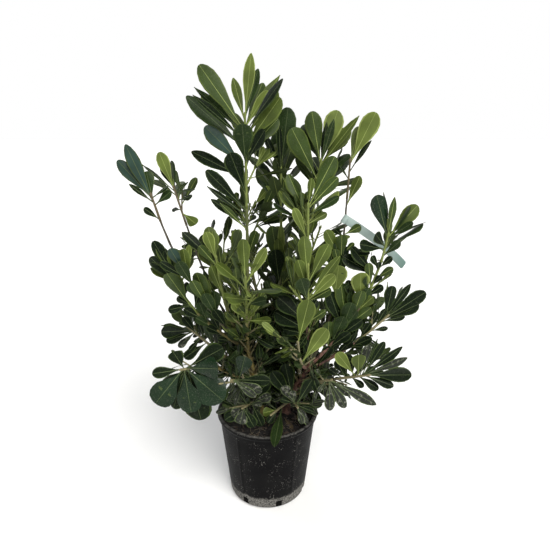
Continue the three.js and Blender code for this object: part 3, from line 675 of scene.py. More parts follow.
# Each leaf: how far back it starts, its tip's pixel across and down, how far the tip leans away, its width
# in hundredths of its length, how far it turns its upper side to the front in tenths, and its green.
STANDING = {
    "leader": [
        (24, 199, 64, 0, 26, 8, MID), (30, 194, 86, 8, 13, 6, DEEP), (40, 193, 94, 0, 16, 6, DARK_SHADE),
        (54, 186, 95, -5, 22, 8, DEEP), (86, 205, 126, -10, 30, 8, BLUISH_SHEEN),
        (82, 242, 124, -30, 46, 9, DEEP), (10, 233, 77, 10, 20, 8, OLIVE), (2, 251, 53, -5, 20, 9, FRESH_SUNLIT),
        (4, 258, 68, 5, 22, 7, DEEP), (18, 268, 90, 15, 30, 8, FRESH_SUNLIT), (26, 282, 78, -10, 22, 5, DARK_SHADE),
        (18, 280, 74, 10, 15, 6, OLIVE), (34, 277, 90, 10, 30, 8, OLIVE), (50, 280, 97, -5, 32, 8, OLIVE),
        (62, 278, 118, 0, 32, 8, MID), (76, 264, 130, -10, 34, 7, DARK_SHADE), (104, 191, 151, -5, 22, 9, DARK_SHADE),
        (160, 206, 170, -5, 25, 9, DARK_SHADE), (132, 230, 153, -8, 40, 9, DARK_SHADE),
        (170, 207, 186, -5, 13, 8, DARK_SHADE), (185, 211, 199, -5, 20, 8, DARK_SHADE),
        (195, 220, 203, -15, 16, 9, MID), (246, 256, 231, -10, 36, 8, MID),
    ],
    "centre_leader": [
        (6, 288, 107, 0, 32, 8, DEEP), (2, 264, 133, -10, 20, 6, DARK_SHADE), (8, 279, 122, -15, 14, 4, DARK_SHADE),
        (225, 275, 250, -20, 48, 9, DARK_SHADE), (200, 278, 239, -20, 25, 8, OLIVE),
        (190, 281, 222, -20, 14, 8, FRESH_SUNLIT), (206, 272, 226, -15, 30, 8, MID),
    ],
    "right_leader": [
        (6, 312, 111, -5, 34, 9, MID), (10, 327, 122, -10, 16, 4, DARK_SHADE), (6, 334, 119, -15, 18, 6, DEEP),
        (4, 338, 110, 15, 37, 9, FRESH_SUNLIT), (8, 359, 115, 0, 16, 5, OLIVE), (36, 292, 128, -20, 38, 9, MID),
        (4, 346, 132, 10, 36, 7, DARK_SHADE), (6, 350, 127, 20, 30, 8, OLIVE), (4, 304, 124, 20, 42, 8, DEEP),
    ],
    "right_spire": [
        (4, 376, 112, 0, 36, 9, FRESH_SUNLIT), (4, 359, 126, 8, 27, 7, OLIVE), (16, 371, 140, 0, 20, 4, DARK_SHADE),
        (28, 340, 166, 0, 20, 5, DARK_SHADE), (74, 360, 176, -5, 32, 9, OLIVE), (125, 361, 226, 10, 50, 8, MID),
        (130, 335, 229, -5, 50, 7, DARK_SHADE), (170, 326, 230, -5, 36, 8, OLIVE),
        (170, 342, 235, -10, 50, 9, MID), (150, 370, 253, -20, 35, 5, DARK_SHADE),
        (245, 339, 266, -30, 45, 9, FRESH_SUNLIT), (160, 354, 243, -8, 34, 8, MID),
        (185, 358, 257, -10, 36, 8, DEEP), (205, 347, 275, -10, 36, 7, DARK_SHADE),
        (215, 330, 267, 5, 36, 7, DARK_SHADE), (180, 347, 251, 0, 40, 8, DARK_SHADE), (235, 349, 284, -10, 36, 8, DEEP),
        (188, 335, 249, -8, 36, 8, MID), (212, 343, 258, -10, 36, 8, DEEP), (205, 328, 246, 0, 40, 8, MID),
        (196, 336, 243, -4, 40, 8, DEEP), (190, 345, 246, -4, 42, 8, DARK_SHADE), (212, 333, 256, 0, 45, 8, DARK_SHADE),
        (200, 327, 239, 2, 36, 8, DEEP),
    ],
    "centre_right": [
        (2, 335, 156, 10, 31, 9, MID), (4, 338, 177, 0, 28, 8, MID), (16, 339, 196, 0, 30, 5, DEEP),
        (30, 327, 213, 5, 35, 8, OLIVE), (60, 294, 208, -5, 26, 9, FRESH_SUNLIT), (170, 331, 289, -8, 36, 8, MID),
    ],
    "right_shoulder": [
        (6, 377, 195, -5, 38, 9, GREEN), (4, 384, 192, 10, 12, 3, DARK_SHADE), (4, 395, 197, 5, 18, 6, MID),
        (4, 418, 205, 0, 36, 8, OLIVE), (6, 413, 222, -10, 30, 5, DEEP), (8, 426, 221, 0, 12, 2, DARK_SHADE),
        (22, 376, 234, -25, 45, 9, DARK_SHADE), (38, 400, 241, -5, 35, 7, DEEP), (25, 360, 244, -20, 42, 7, DARK_SHADE),
        (62, 372, 256, -10, 50, 7, DARK_SHADE), (82, 393, 268, 0, 36, 8, MID), (76, 343, 256, -5, 40, 7, DARK_SHADE),
        (76, 352, 247, 5, 35, 6, DARK_SHADE), (100, 369, 263, -5, 33, 8, MID), (138, 361, 273, -15, 50, 9, FRESH_SUNLIT),
        (60, 392, 257, 5, 40, 7, DARK_SHADE), (185, 341, 283, 5, 34, 8, MID), (170, 352, 291, 0, 34, 7, DEEP),
        (195, 330, 292, 0, 40, 8, DARK_SHADE), (150, 348, 280, 10, 34, 6, DARK_SHADE),
        (118, 383, 286, -12, 40, 7, DARK_SHADE), (148, 373, 297, -12, 42, 8, OLIVE),
        (68, 379, 262, -12, 45, 8, DARK_SHADE), (95, 381, 276, -12, 42, 8, DARK_SHADE),
        (108, 366, 277, -12, 42, 8, DEEP), (165, 362, 291, -15, 42, 9, MID),
        (185, 371, 308, -12, 36, 8, MID), (205, 352, 303, -15, 42, 8, DEEP),
        (212, 362, 320, -14, 36, 7, DARK_SHADE), (232, 344, 317, -15, 42, 8, DEEP),
        (245, 350, 333, -15, 36, 7, DARK_SHADE), (240, 329, 322, -12, 40, 8, MID),
        (150, 369, 288, -12, 34, 7, DEEP), (190, 357, 311, -12, 36, 7, DEEP),
        (225, 342, 330, -12, 36, 7, DARK_SHADE),
    ],
    "right_middle": [
        (4, 393, 286, 0, 40, 7, DARK_SHADE), (6, 411, 284, 5, 20, 6, DARK_SHADE), (2, 426, 292, 0, 30, 7, DARK_SHADE),
        (8, 419, 304, -5, 36, 6, DARK_SHADE), (6, 388, 282, 10, 10, 6, MID), (14, 405, 316, -3, 30, 6, DARK_SHADE),
        (50, 373, 336, -5, 36, 6, DARK_SHADE), (102, 372, 338, -5, 34, 6, DARK_SHADE), (110, 334, 336, 5, 40, 7, DARK_SHADE),
        (95, 357, 333, -8, 36, 7, DARK_SHADE), (125, 340, 366, -8, 40, 7, DARK_SHADE), (30, 386, 309, -5, 34, 7, DARK_SHADE),
        (40, 388, 328, -5, 30, 6, DARK_SHADE), (100, 351, 371, -10, 40, 6, DARK_SHADE),
        (90, 363, 347, -12, 40, 8, DARK_SHADE), (75, 345, 333, -10, 40, 7, DARK_SHADE),
        (120, 346, 345, -12, 40, 8, DARK_SHADE), (60, 376, 347, -8, 35, 7, DARK_SHADE),
        (85, 367, 356, -12, 40, 7, DUSTY), (130, 353, 358, -10, 40, 7, DARK_SHADE),
        (140, 338, 339, -14, 45, 8, DARK_SHADE), (115, 352, 341, -14, 45, 8, DARK_SHADE),
        (160, 331, 347, -12, 45, 8, DARK_SHADE), (55, 364, 330, -6, 42, 8, DARK_SHADE), (122, 346, 348, 4, 46, 8, DARK_SHADE),
        (60, 362, 318, -4, 36, 7, DARK_SHADE), (70, 371, 323, -4, 34, 7, DARK_SHADE), (48, 378, 312, -2, 30, 7, DARK_SHADE),
        (80, 357, 327, -4, 36, 7, DARK_SHADE),
    ],
    "right_low": [
        (24, 337, 353, -10, 36, 9, FRESH_SUNLIT), (18, 359, 355, -20, 50, 9, OLIVE), (4, 412, 375, 0, 34, 7, DARK_SHADE),
        (6, 408, 358, 5, 20, 4, DUSTY), (8, 403, 347, 10, 20, 5, DARK_SHADE), (8, 385, 342, 10, 26, 6, DARK_SHADE),
        (10, 378, 339, 10, 14, 6, DARK_SHADE), (14, 369, 345, -5, 32, 8, DUSTY), (8, 394, 386, -5, 30, 4, DARK_SHADE),
        (20, 379, 389, -5, 40, 5, DARK_SHADE), (34, 364, 387, -5, 40, 6, DARK_SHADE), (28, 352, 361, 6, 44, 8, DARK_SHADE),
        (36, 344, 371, 6, 46, 8, DARK_SHADE), (24, 366, 362, 8, 40, 8, DARK_SHADE), (42, 346, 382, 4, 42, 7, DUSTY),
        (30, 360, 371, 10, 46, 8, DARK_SHADE), (50, 335, 379, 4, 46, 8, DARK_SHADE), (44, 336, 360, 8, 50, 8, DARK_SHADE),
        (38, 343, 364, 12, 50, 8, DARK_SHADE), (52, 329, 369, 8, 50, 8, DARK_SHADE),
    ],
    "front_low_right": [
        (4, 330, 411, -10, 34, 8, DUSTY), (6, 346, 408, -5, 30, 7, DUSTY), (4, 351, 395, 5, 30, 6, DUSTY),
        (2, 377, 405, 5, 20, 5, DUSTY), (14, 318, 392, -8, 36, 7, DUSTY), (20, 327, 398, -6, 36, 7, DUSTY),
        (10, 340, 399, -5, 32, 7, DUSTY),
    ],
    "left_spire": [
        (14, 125, 144, 0, 22, 9, BLUISH_SHEEN), (4, 117, 160, -5, 26, 9, BLUISH_SHEEN), (10, 129, 184, 0, 20, 7, DARK_SHADE),
        (14, 171, 191, -10, 45, 8, DEEP), (2, 168, 186, 5, 30, 6, DARK_SHADE), (38, 144, 208, 0, 38, 6, DARK_SHADE),
        (6, 146, 171, -8, 44, 9, DEEP), (135, 170, 249, -28, 34, 8, BLUISH_SHEEN),
        (150, 183, 249, -15, 34, 9, OLIVE), (140, 189, 245, 5, 24, 8, FRESH_SUNLIT),
        (150, 160, 262, -5, 26, 8, DARK_SHADE), (200, 189, 284, -20, 42, 8, DEEP),
        (222, 203, 281, -10, 36, 8, MID), (240, 214, 291, -10, 40, 7, DEEP),
        (255, 206, 311, -8, 40, 7, DEEP), (168, 178, 262, -28, 34, 8, DEEP),
        (210, 192, 281, -28, 32, 8, MID), (230, 196, 273, -22, 30, 8, MID),
        (245, 204, 294, -28, 34, 8, DEEP), (275, 214, 310, -26, 36, 7, DARK_SHADE),
    ],
    "left_second": [
        (4, 159, 152, -5, 32, 9, FRESH_SUNLIT), (6, 188, 182, 0, 20, 7, DARK_SHADE), (8, 195, 189, 5, 16, 5, DARK_SHADE),
        (2, 160, 166, 15, 22, 7, DARK_SHADE), (6, 142, 164, 10, 10, 5, DARK_SHADE), (22, 192, 196, -5, 40, 6, DARK_SHADE),
        (40, 172, 209, 0, 40, 6, DARK_SHADE), (46, 196, 224, -5, 55, 9, OLIVE), (150, 207, 279, -12, 40, 8, DEEP),
        (170, 214, 291, -12, 42, 8, MID),
    ],
    "left_shoulder": [
        (14, 153, 241, 0, 27, 7, DARK_SHADE), (16, 150, 257, -5, 34, 5, DARK_SHADE), (10, 159, 246, 5, 28, 6, BLUISH_SHEEN),
        (8, 165, 250, 0, 30, 8, DARK_SHADE), (64, 167, 274, -35, 37, 9, MID), (62, 168, 310, -5, 50, 6, DARK_SHADE),
        (45, 187, 282, 5, 50, 6, DARK_SHADE), (64, 177, 297, 0, 50, 6, DARK_SHADE), (75, 201, 280, 10, 50, 7, DARK_SHADE),
        (85, 207, 290, 5, 50, 7, DEEP), (100, 184, 309, -14, 42, 8, DARK_SHADE),
        (125, 196, 318, -14, 42, 8, DEEP), (150, 207, 327, -14, 42, 8, DARK_SHADE),
        (110, 199, 303, -14, 40, 8, DEEP), (140, 213, 318, -14, 40, 8, DARK_SHADE),
        (170, 218, 339, -12, 42, 8, DARK_SHADE),
    ],
    "left_middle": [
        (4, 161, 325, 5, 14, 3, DARK_SHADE), (8, 161, 332, -15, 46, 8, DARK_SHADE), (14, 178, 347, -5, 35, 7, DUSTY),
        (12, 166, 341, -8, 35, 7, DARK_SHADE), (40, 196, 316, -10, 40, 7, DARK_SHADE), (60, 206, 324, -12, 40, 7, DEEP),
        (20, 183, 317, -5, 40, 7, DARK_SHADE), (80, 216, 331, -15, 40, 7, DARK_SHADE), (30, 189, 351, -10, 42, 7, DARK_SHADE),
        (55, 200, 361, -10, 40, 7, DARK_SHADE), (45, 184, 358, -15, 40, 7, DARK_SHADE),
    ],
    "left_low": [
        (2, 155, 404, -15, 62, 9, GREEN), (4, 191, 413, -22, 60, 9, GREEN),
        (6, 223, 401, -20, 60, 9, GREEN), (8, 218, 369, -20, 60, 8, GREEN), (10, 223, 348, -5, 46, 8, DARK_SHADE),
        (2, 152, 374, -10, 40, 8, DARK_SHADE), (4, 173, 352, -5, 75, 9, DARK_SHADE), (8, 173, 409, -5, 40, 9, DARK_SHADE),
        (10, 181, 399, 10, 50, 8, DARK_SHADE), (14, 216, 384, -15, 60, 8, GREEN), (8, 171, 394, 4, 70, 9, GREEN),
        (10, 207, 404, 2, 66, 9, GREEN), (14, 190, 388, 14, 70, 8, DARK_SHADE), (16, 206, 374, 10, 66, 8, DARK_SHADE),
        (10, 201, 421, 0, 46, 8, DARK_SHADE), (6, 165, 391, 5, 56, 8, DARK_SHADE),
    ],
    "front_left": [
        (6, 206, 232, -10, 35, 9, FRESH_SUNLIT), (4, 212, 231, 10, 40, 9, OLIVE), (14, 199, 246, -15, 32, 9, MID),
        (10, 183, 232, 10, 25, 7, DARK_SHADE), (75, 211, 266, -10, 30, 9, OLIVE),
    ],
    "front_centre": [
        (4, 243, 239, 5, 30, 9, OLIVE), (10, 266, 248, 0, 25, 8, FRESH_SUNLIT), (50, 266, 300, -20, 40, 8, DEEP),
    ],
    "front_right": [
        (30, 304, 236, 15, 30, 9, OLIVE), (30, 329, 244, 10, 32, 9, OLIVE), (58, 340, 256, 0, 20, 9, OLIVE),
        (62, 335, 275, -10, 30, 9, FRESH_SUNLIT), (45, 298, 260, 0, 35, 9, OLIVE),
        (62, 301, 279, -30, 45, 9, DEEP), (110, 325, 311, -5, 35, 8, MID), (130, 285, 318, 16, 46, 8, DARK_SHADE),
        (120, 290, 304, 16, 46, 8, DARK_SHADE), (138, 283, 329, 12, 46, 8, DARK_SHADE),
        (112, 278, 297, 16, 46, 8, DARK_SHADE), (100, 317, 300, 14, 46, 8, DARK_SHADE),
        (125, 296, 326, 14, 46, 8, DARK_SHADE), (128, 275, 312, 18, 50, 8, DARK_SHADE),
    ],
    "front_low": [
        (0, 309, 300, 10, 42, 9, OLIVE), (70, 327, 329, 0, 36, 9, FRESH_SUNLIT),
    ],
    "front_low_left": [
        (4, 256, 397, -10, 30, 6, DUSTY), (40, 245, 357, -20, 50, 8, GREEN),
        (30, 228, 392, -5, 34, 6, DUSTY), (8, 262, 392, -8, 35, 7, DUSTY), (14, 270, 381, -6, 35, 7, DARK_SHADE),
        (20, 255, 385, -10, 36, 7, DUSTY), (26, 242, 381, -10, 36, 7, DARK_SHADE),
        (12, 246, 390, -8, 40, 7, DARK_SHADE),
    ],
    "skirt_left": [
        (6, 240, 424, -20, 82, 9, DUSTY), (10, 225, 420, -5, 50, 7, DARK_SHADE), (2, 254, 427, -15, 60, 8, DARK_SHADE),
        (14, 232, 416, -12, 70, 8, DUSTY), (20, 247, 422, -14, 60, 8, DARK_SHADE),
        (60, 268, 380, -10, 40, 6, DARK_SHADE), (45, 262, 426, -22, 45, 7, DARK_SHADE),
        (30, 262, 404, -14, 40, 7, DUSTY), (36, 271, 396, -12, 40, 7, DUSTY),
        (26, 250, 408, -14, 42, 7, DARK_SHADE),
    ],
    "skirt_right": [
        (20, 283, 386, -5, 40, 7, DUSTY), (20, 314, 412, -5, 35, 7, DARK_SHADE), (4, 303, 424, -10, 40, 7, DUSTY),
        (50, 272, 372, -5, 36, 6, DARK_SHADE), (60, 285, 364, -5, 36, 6, DARK_SHADE), (24, 292, 391, -10, 40, 7, DUSTY),
        (30, 281, 399, -10, 42, 7, DARK_SHADE), (16, 312, 380, -8, 36, 7, DARK_SHADE),
    ],
    "rim_sprig": [
        (50, 274, 446, -108, 21, 5, DEEP), (24, 263, 413, -14, 62, 9, OLIVE),
        (30, 268, 423, -16, 50, 8, DARK_SHADE),
    ],
}

# %% [markdown]
# ### From a pixel to a place
# The camera is known, so the line of sight through a pixel can be followed to the depth of the leaf's root
# on its shoot, and a little nearer or farther where the leaf leans. A picture says nothing of that lean.
# So the leaves of tall shoots also swing to and fro, by the golden angle, and stand all round their stem.

# %% Lines of sight
SWING = {"leader": 32, "right_leader": 26, "centre_leader": 26, "right_spire": 20, "left_spire": 18,
         "left_second": 18, "right_shoulder": 16}
SWING_BACK, SWING_LEAN = 135, 10  # only leaves near the tip, and with no great lean of their own


def sight(across, down, depth):
    """Places that the picture shows at pixels, each at a depth behind the middle of the pot.

    A line of sight leaves the eye along ahead + right a + above b, where a and b are the pixel's
    distances right of and above the middle of the frame, over the focal length.
    """
    pitch = np.radians(PITCH)
    ahead = np.array([0, np.cos(pitch), -np.sin(pitch)])
    right = np.array([1, 0, 0])
    above = np.cross(right, ahead)
    a, b = (np.asarray(across) - FRAME / 2) / FOCAL, (FRAME / 2 - np.asarray(down)) / FOCAL
    way = ahead + a[..., None] * right + b[..., None] * above
    return EYE + way * ((depth - EYE[1]) / way[..., 1])[..., None]


def standing_spray(shoot):
    """A shoot's listed leaves. The upper side turns from the shoot's axis towards the front."""
    back, across, down, lean, width, facing, tint = np.array(STANDING[shoot.name]).T
    width, facing = width / 100, facing / 10
    root, axis = back_from(runs[shoot.name], back)
    swing = SWING.get(shoot.name, 0) * np.sin(np.radians(GOLDEN) * np.arange(len(back)))
    lean = lean + np.where((back < SWING_BACK) & (np.abs(lean) <= SWING_LEAN), swing, 0)
    reach = sight(across, down, root[:, 1] + lean) - root
    along, length = unit(reach), np.linalg.norm(reach, axis=1)
    upper = mix(axis, FRONT, facing[:, None])
    up = unit(upper - along * (upper * along).sum(axis=1, keepdims=True))
    leaves = Leaves(root, along, up, length, np.full(len(back), 0.4))
    return Spray(shoot, None, leaves, 1, tint, width)

# %% [markdown]
# ### Finer growth
# The solids carry a few broad leaves a rosette, to keep their faces few. The real rosettes are fuller. So
# the same rule goes on here: more leaves between the first ones, a tuft of tiny new leaves at each tip, and
# small side twigs with rosettes of their own. Where listed leaves stand for those at the front of a
# rosette, fewer of its own are kept.

# %% Rosettes, tufts and fine twigs
TIP_CORNER = 0.97, 0.11825, 0.035  # of a solid leaf: along, across and below, as shares of its length
THINNED = {
    "leader": 0.25, "right_leader": 0.35, "centre_leader": 0.6, "right_spire": 0.1, "left_spire": 0.0,
    "left_second": 0.1, "right_shoulder": 0.4, "left_low": 0.2, "right_low": 0.35, "centre_right": 0.4,
    "front_left": 0.4, "front_centre": 0.5, "front_right": 0.4, "front_low": 0.5, "left_shoulder": 0.7,
    "right_middle": 0.8, "left_middle": 0.9,
}
FINE_LENGTHS, INNER_LENGTHS = (22, 46), (22, 84)


def only(leaves, keep):
    """Some of the leaves."""
    return Leaves(*[values[keep] for values in leaves])


def joined(groups):
    """Groups of leaves as one."""
    return Leaves(*[np.concatenate(values) for values in zip(*groups)])


def one_turn(leaves, pick):
    """Leaves that have taken one of their choices of turn."""
    pick = np.arange(len(leaves.share)), pick
    return leaves._replace(root=leaves.root[pick], along=leaves.along[pick], up=leaves.up[pick])


def solid_points(node):
    """The points of a CAD node, in millimetres."""
    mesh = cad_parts[node].data
    flat = np.empty(len(mesh.vertices) * 3)
    mesh.vertices.foreach_get("co", flat)
    return flat.reshape(-1, 3) / MM


def chosen(leaves, solid):
    """Each leaf with its turn in the solid, or its first turn where the solid has no such leaf."""
    along, across, below = (share * leaves.length[:, None, None] for share in TIP_CORNER)
    side = np.cross(leaves.up, leaves.along)
    corner = leaves.root + leaves.along * along + side * across - leaves.up * below
    near = np.linalg.norm(corner[:, :, None] - solid, axis=-1).min(axis=-1) < 0.5
    return one_turn(leaves, near.argmax(axis=1)), int(near.any(axis=1).sum())


def more_leaves(limb, back, upturn, share, leaf, rng):
    """Leaves between a rosette's first ones, at the given shares from outermost, 0, to youngest, 1."""
    count = len(share)
    turn = rng.uniform(0, 360) + GOLDEN * np.arange(count) + rng.uniform(-25, 25, count)
    tilt = mix(mix(84, 58, upturn), mix(26, 10, upturn), share) + rng.uniform(-10, 10, count)
    length = leaf * mix(0.95, 0.6, share) * rng.uniform(0.8, 1.1, count)
    back = back + mix(ROSETTE_DEPTH, 0, share)
    return one_turn(leaf_frames(limb, back, turn[:, None], tilt, length, share), 0)


def tuft(limb, leaf, rng, count=3):
    """Tiny new leaves that stand up at a limb's tip."""
    turn = rng.uniform(0, 360) + 360 / count * np.arange(count) + rng.uniform(-20, 20, count)
    length = leaf * rng.uniform(0.28, 0.5, count)
    tilt = rng.uniform(8, 24, count)
    return one_turn(leaf_frames(limb, np.zeros(count), turn[:, None], tilt, length, np.full(count, 1.2)), 0)


def thinned(leaves, shoot, rng):
    """Fewer of a rosette's front leaves, where listed leaves stand for them."""
    chance = rng.uniform(0, 1, len(leaves.share))
    return only(leaves, (leaves.along[:, 1] > 0.25) | (chance < THINNED.get(shoot.name, 1)))


def fine_twigs(shoot, limb, backs, turn, rng, lengths=FINE_LENGTHS):
    """Small side twigs on a limb, at distances back from its tip, each with a rosette and a tuft."""
    sprays = []
    for k, back in enumerate(backs):
        twig = side_twig(limb, back, turn + GOLDEN * k, rng.uniform(*lengths))
        leaf = shoot.leaf * rng.uniform(0.58, 0.86)
        leaves = more_leaves(twig, 0, shoot.upturn, np.linspace(0, 1, 7), leaf, rng)
        sprays.append(Spray(shoot, twig, joined([leaves, tuft(twig, leaf, rng)]), 2))
    return sprays

# %% [markdown]
# ### A whole shoot
# A shoot is a leafy stem with one or two whorls, side twigs in the places that the solids give them, and
# finer twigs on its leafy end and along its bough. The tall leaders have more whorls, and the thin spires
# stay bare. Twigs with small leaves round the stems close the dark middle of the shrub.

# %% Grow the sprays
LEADERS = {"leader", "right_leader", "centre_leader"}
BARE_SHOOTS = LEADERS | {"left_spire", "right_spire", "left_second", "rim_sprig"}
STEM_STEP, WHORL_STEP = 48, 66  # straight runs of a leafy stem, and from one whorl to the next
LEADER_WHORLS = (34, 100, 132)  # more whorls, back from the tip
SMALL, SMALL_HEIGHT, SMALL_RISE = 0.78, 230, 250  # low leaves are smaller, up to some height
INNER_TWIGS = {"right": 36, "left": 36, "back": 56}
INNER_SHOOT = Shoot("inner", "inner", 0, 0, 0, 0.4, 0, 0, 0, 0, 70)


def grow(index, shoot):
    """A shoot's leafy stem and side twigs, each with its leaves, and how many are in the solids."""
    draw, rng = seeded(SEED + 101 * index), np.random.default_rng(index)
    solid = solid_points(f"foliage_{shoot.name}")
    leading, bare = shoot.name in LEADERS, shoot.name in BARE_SHOOTS
    run, upturn = runs[shoot.name], shoot.upturn
    run_length = distances(run)[-1]
    start = shoot.bough + GAP / run_length
    steps = max(1, round((1 - start) * run_length / STEM_STEP))
    stem = at_share(run, np.linspace(start, 1, steps + 1))
    stem_length = run_length * (1 - shoot.bough)
    inner = mix(30, 9, upturn)
    size = mix(SMALL, 1, np.clip((shoot.height - SMALL_HEIGHT) / SMALL_RISE, 0, 1))
    sprays, found = [], 0
    for k in range(shoot.whorls):
        count, tilt = (6, 40) if k else (8, inner)
        leaves, kept = chosen(rosette(stem, k * WHORL_STEP, upturn, tilt, count, shoot.leaf, draw), solid)
        leaves = thinned(leaves._replace(length=leaves.length * size), shoot, rng)
        share = rng.uniform(0, 0.8, 2 if bare else 5)
        extra = more_leaves(stem, k * WHORL_STEP, upturn, share, shoot.leaf * size, rng)
        extra = thinned(extra, shoot, rng)
        sprays += [Spray(shoot, None if k else stem, leaves, 0), Spray(shoot, None, extra, 1)]
        found += kept
    for back in LEADER_WHORLS if leading else ():
        extra = more_leaves(stem, back, upturn, rng.uniform(0, 0.7, 4), shoot.leaf, rng)
        sprays.append(Spray(shoot, None, thinned(extra, shoot, rng), 1))
    sprays.append(Spray(shoot, None, tuft(stem, shoot.leaf, rng), 1))
    if shoot.name in STANDING:
        sprays.append(standing_spray(shoot))
    first = next(draw) * 360
    for k in range(shoot.twigs):
        back = stem_length * mix(0.88, 0.34, (k + 0.5) / shoot.twigs)
        turn = first + GOLDEN * k + mix(-20, 20, next(draw))
        limb = side_twig(stem, back, turn, shoot.twig_length * mix(0.75, 1.15, next(draw)))
        leaf = shoot.leaf * mix(0.78, 0.95, next(draw))
        leaves, kept = chosen(rosette(limb, 0, upturn, inner, 4, leaf, draw), solid)
        leaves = leaves._replace(length=leaves.length * size)
        extra = more_leaves(limb, 0, upturn, rng.uniform(0, 1, 4), leaf * size, rng)
        sprays.append(Spray(shoot, limb, joined([leaves, extra, tuft(limb, leaf, rng)]), 1))
        found += kept
    if not bare:
        sprays += fine_twigs(shoot, stem, stem_length * rng.uniform(0.25, 0.95, 3), first + 70, rng)
    if shoot.bough and (leading or not bare):
        bough = at_share(run, np.linspace(0, shoot.bough, 6))
        places = np.linspace(0.3, 0.85, 6) if leading else np.linspace(0.06, 0.7, 7)
        sprays += fine_twigs(shoot, bough, run_length * shoot.bough * places, first + 200, rng)
    return sprays, found


def inner_sprays(side, stem, rng):
    """Twigs with small leaves round a stem."""
    path = at_share(stem_path(stem), np.linspace(0, 1, 8))
    places = stem.height * np.linspace(0, 0.94, INNER_TWIGS[side])
    return fine_twigs(INNER_SHOOT, path, places, rng.uniform(0, 360), rng, INNER_LENGTHS)


sprays, found = [], 0
for index, shoot in enumerate(SHOOTS):
    grown, kept = grow(index, shoot)
    sprays += grown
    found += kept
for index, (side, stem) in enumerate(STEMS.items()):
    sprays += inner_sprays(side, stem, np.random.default_rng(100 + index))
print("leaves found in the solids:", found, "of", sum(len(spray.leaves.share) for spray in sprays), "grown")

# %% [markdown]
# ### What the eye must see
# From the front some things have to stay in sight: the label, two of the stems and the listed leaves. And
# where the picture shows sky through the crown, nothing should grow. Leaves in the way are left out, a small
# twig that keeps too few leaves goes with them, and nothing stands outside the solids' box.

# %% Keep things in sight
LABEL_SHARE, LABEL_LENGTH, LABEL_SLOPE = 0.75, 140, -33
slope = np.radians(LABEL_SLOPE)
label_way = heading(0) * np.cos(slope) + UP * np.sin(slope)
label_root = at_share(runs["right_spire"], LABEL_SHARE)
label_line = label_root + label_way * np.linspace(0, LABEL_LENGTH, 15)[:, None]
LABEL_ROOM, RIGHT_ROOM, LEFT_ROOM, LEAF_ROOM = 14, 11, 9, 4  # kept clear before label, stems and leaves
PIXEL = 1.8  # millimetres of the crown's middle that one pixel spans
FEWEST = 4  # a twig with fewer leaves is left out
# Gaps in the crown that show sky: pixel across and down, and room in pixels.
SKY = [
    (302, 181, 8), (319, 240, 8), (335, 214, 8), (368, 232, 6), (364, 205, 12), (352, 265, 4), (361, 268, 4),
    (374, 275, 4), (386, 320, 4), (400, 335, 12), (334, 399, 3), (224, 246, 5), (200, 259, 5), (198, 271, 4),
    (216, 270, 4), (192, 300, 7), (220, 306, 7), (256, 283, 8), (250, 268, 4), (249, 232, 7), (233, 380, 5),
    (257, 341, 4), (219, 118, 5), (205, 142, 8), (240, 62, 5), (229, 90, 6), (268, 72, 6), (160, 230, 10),
    (198, 207, 6), (220, 219, 6), (155, 293, 8), (160, 308, 6), (150, 355, 8), (367, 396, 5),
    (196, 234, 4), (201, 226, 5), (135, 201, 8), (152, 283, 8), (357, 168, 6), (405, 326, 7), (211, 103, 4),
    (254, 196, 6), (223, 160, 4), (237, 223, 5), (236, 185, 7), (166, 354, 5), (202, 191, 5), (374, 226, 4),
    (320, 228, 6), (199, 164, 5), (411, 256, 3),
]


def in_sight():
    """Points that have to be seen, and the room in millimetres that each needs round it."""
    lines = [(label_line, LABEL_ROOM),
             (at_share(stem_path(STEMS["right"]), np.linspace(0, 1, 12)), RIGHT_ROOM),
             (at_share(stem_path(STEMS["left"]), np.linspace(0.5, 1, 8)), LEFT_ROOM)]
    for spray in sprays:
        if spray.width is not None:
            reach = spray.leaves.along * spray.leaves.length[:, None]
            middle = spray.leaves.root[:, None] + reach[:, None] * np.linspace(0.3, 0.95, 6)[:, None]
            lines += zip(middle, spray.width * spray.leaves.length * 0.4 + LEAF_ROOM)
    points = np.concatenate([line for line, room in lines])
    return points, np.concatenate([np.full(len(line), room) for line, room in lines])


def hides(leaves, points, room, before=1.003):
    """True for each leaf that comes within the room of a point, seen from the eye, and stands before it.

    A leaf is tried at five places along its midrib. The line of sight through such a place is
    followed to the point's depth, reach times as far from the eye as the place itself.
    """
    share = np.array([0.3, 0.5, 0.7, 0.85, 1.0])
    spots = leaves.root[:, None] + leaves.along[:, None] * (leaves.length[:, None] * share)[..., None]
    sight_line = spots - EYE
    reach = (points[:, 1] - EYE[1]) / sight_line[..., 1:2]
    seen = EYE + sight_line[:, :, None] * reach[..., None]
    apart = np.linalg.norm(seen - points, axis=-1)
    return ((apart < room) & (reach > before)).any(axis=(1, 2))


def tips(leaves):
    """Where each leaf's tip is."""
    return leaves.root + leaves.along * leaves.length[:, None]


def cleared(spray):
    """A spray with only the leaves that may show. A twig that keeps too few of them is left out."""
    leaves = spray.leaves
    tip = tips(leaves)
    keep = ((tip > box_low) & (tip < box_high)).all(axis=1)
    keep = keep & ~hides(leaves, *seen_points) & ~hides(leaves, sky_points, sky_room, 0)
    twig = spray.limb is not None and spray.order > 0
    if twig and keep.sum() < FEWEST:
        return spray._replace(limb=None, leaves=only(leaves, slice(0)))
    return spray._replace(leaves=only(leaves, keep))


box_low, box_high = (np.array(corner) / MM for corner in cad_box)
seen_points = in_sight()
sky_across, sky_down, sky_room = np.array(SKY).T
sky_points, sky_room = sight(sky_across, sky_down, 0), sky_room * PIXEL
sprays = [cleared(spray) if spray.width is None else spray for spray in sprays]
print("leaves left after clearing:", sum(len(spray.leaves.share) for spray in sprays))

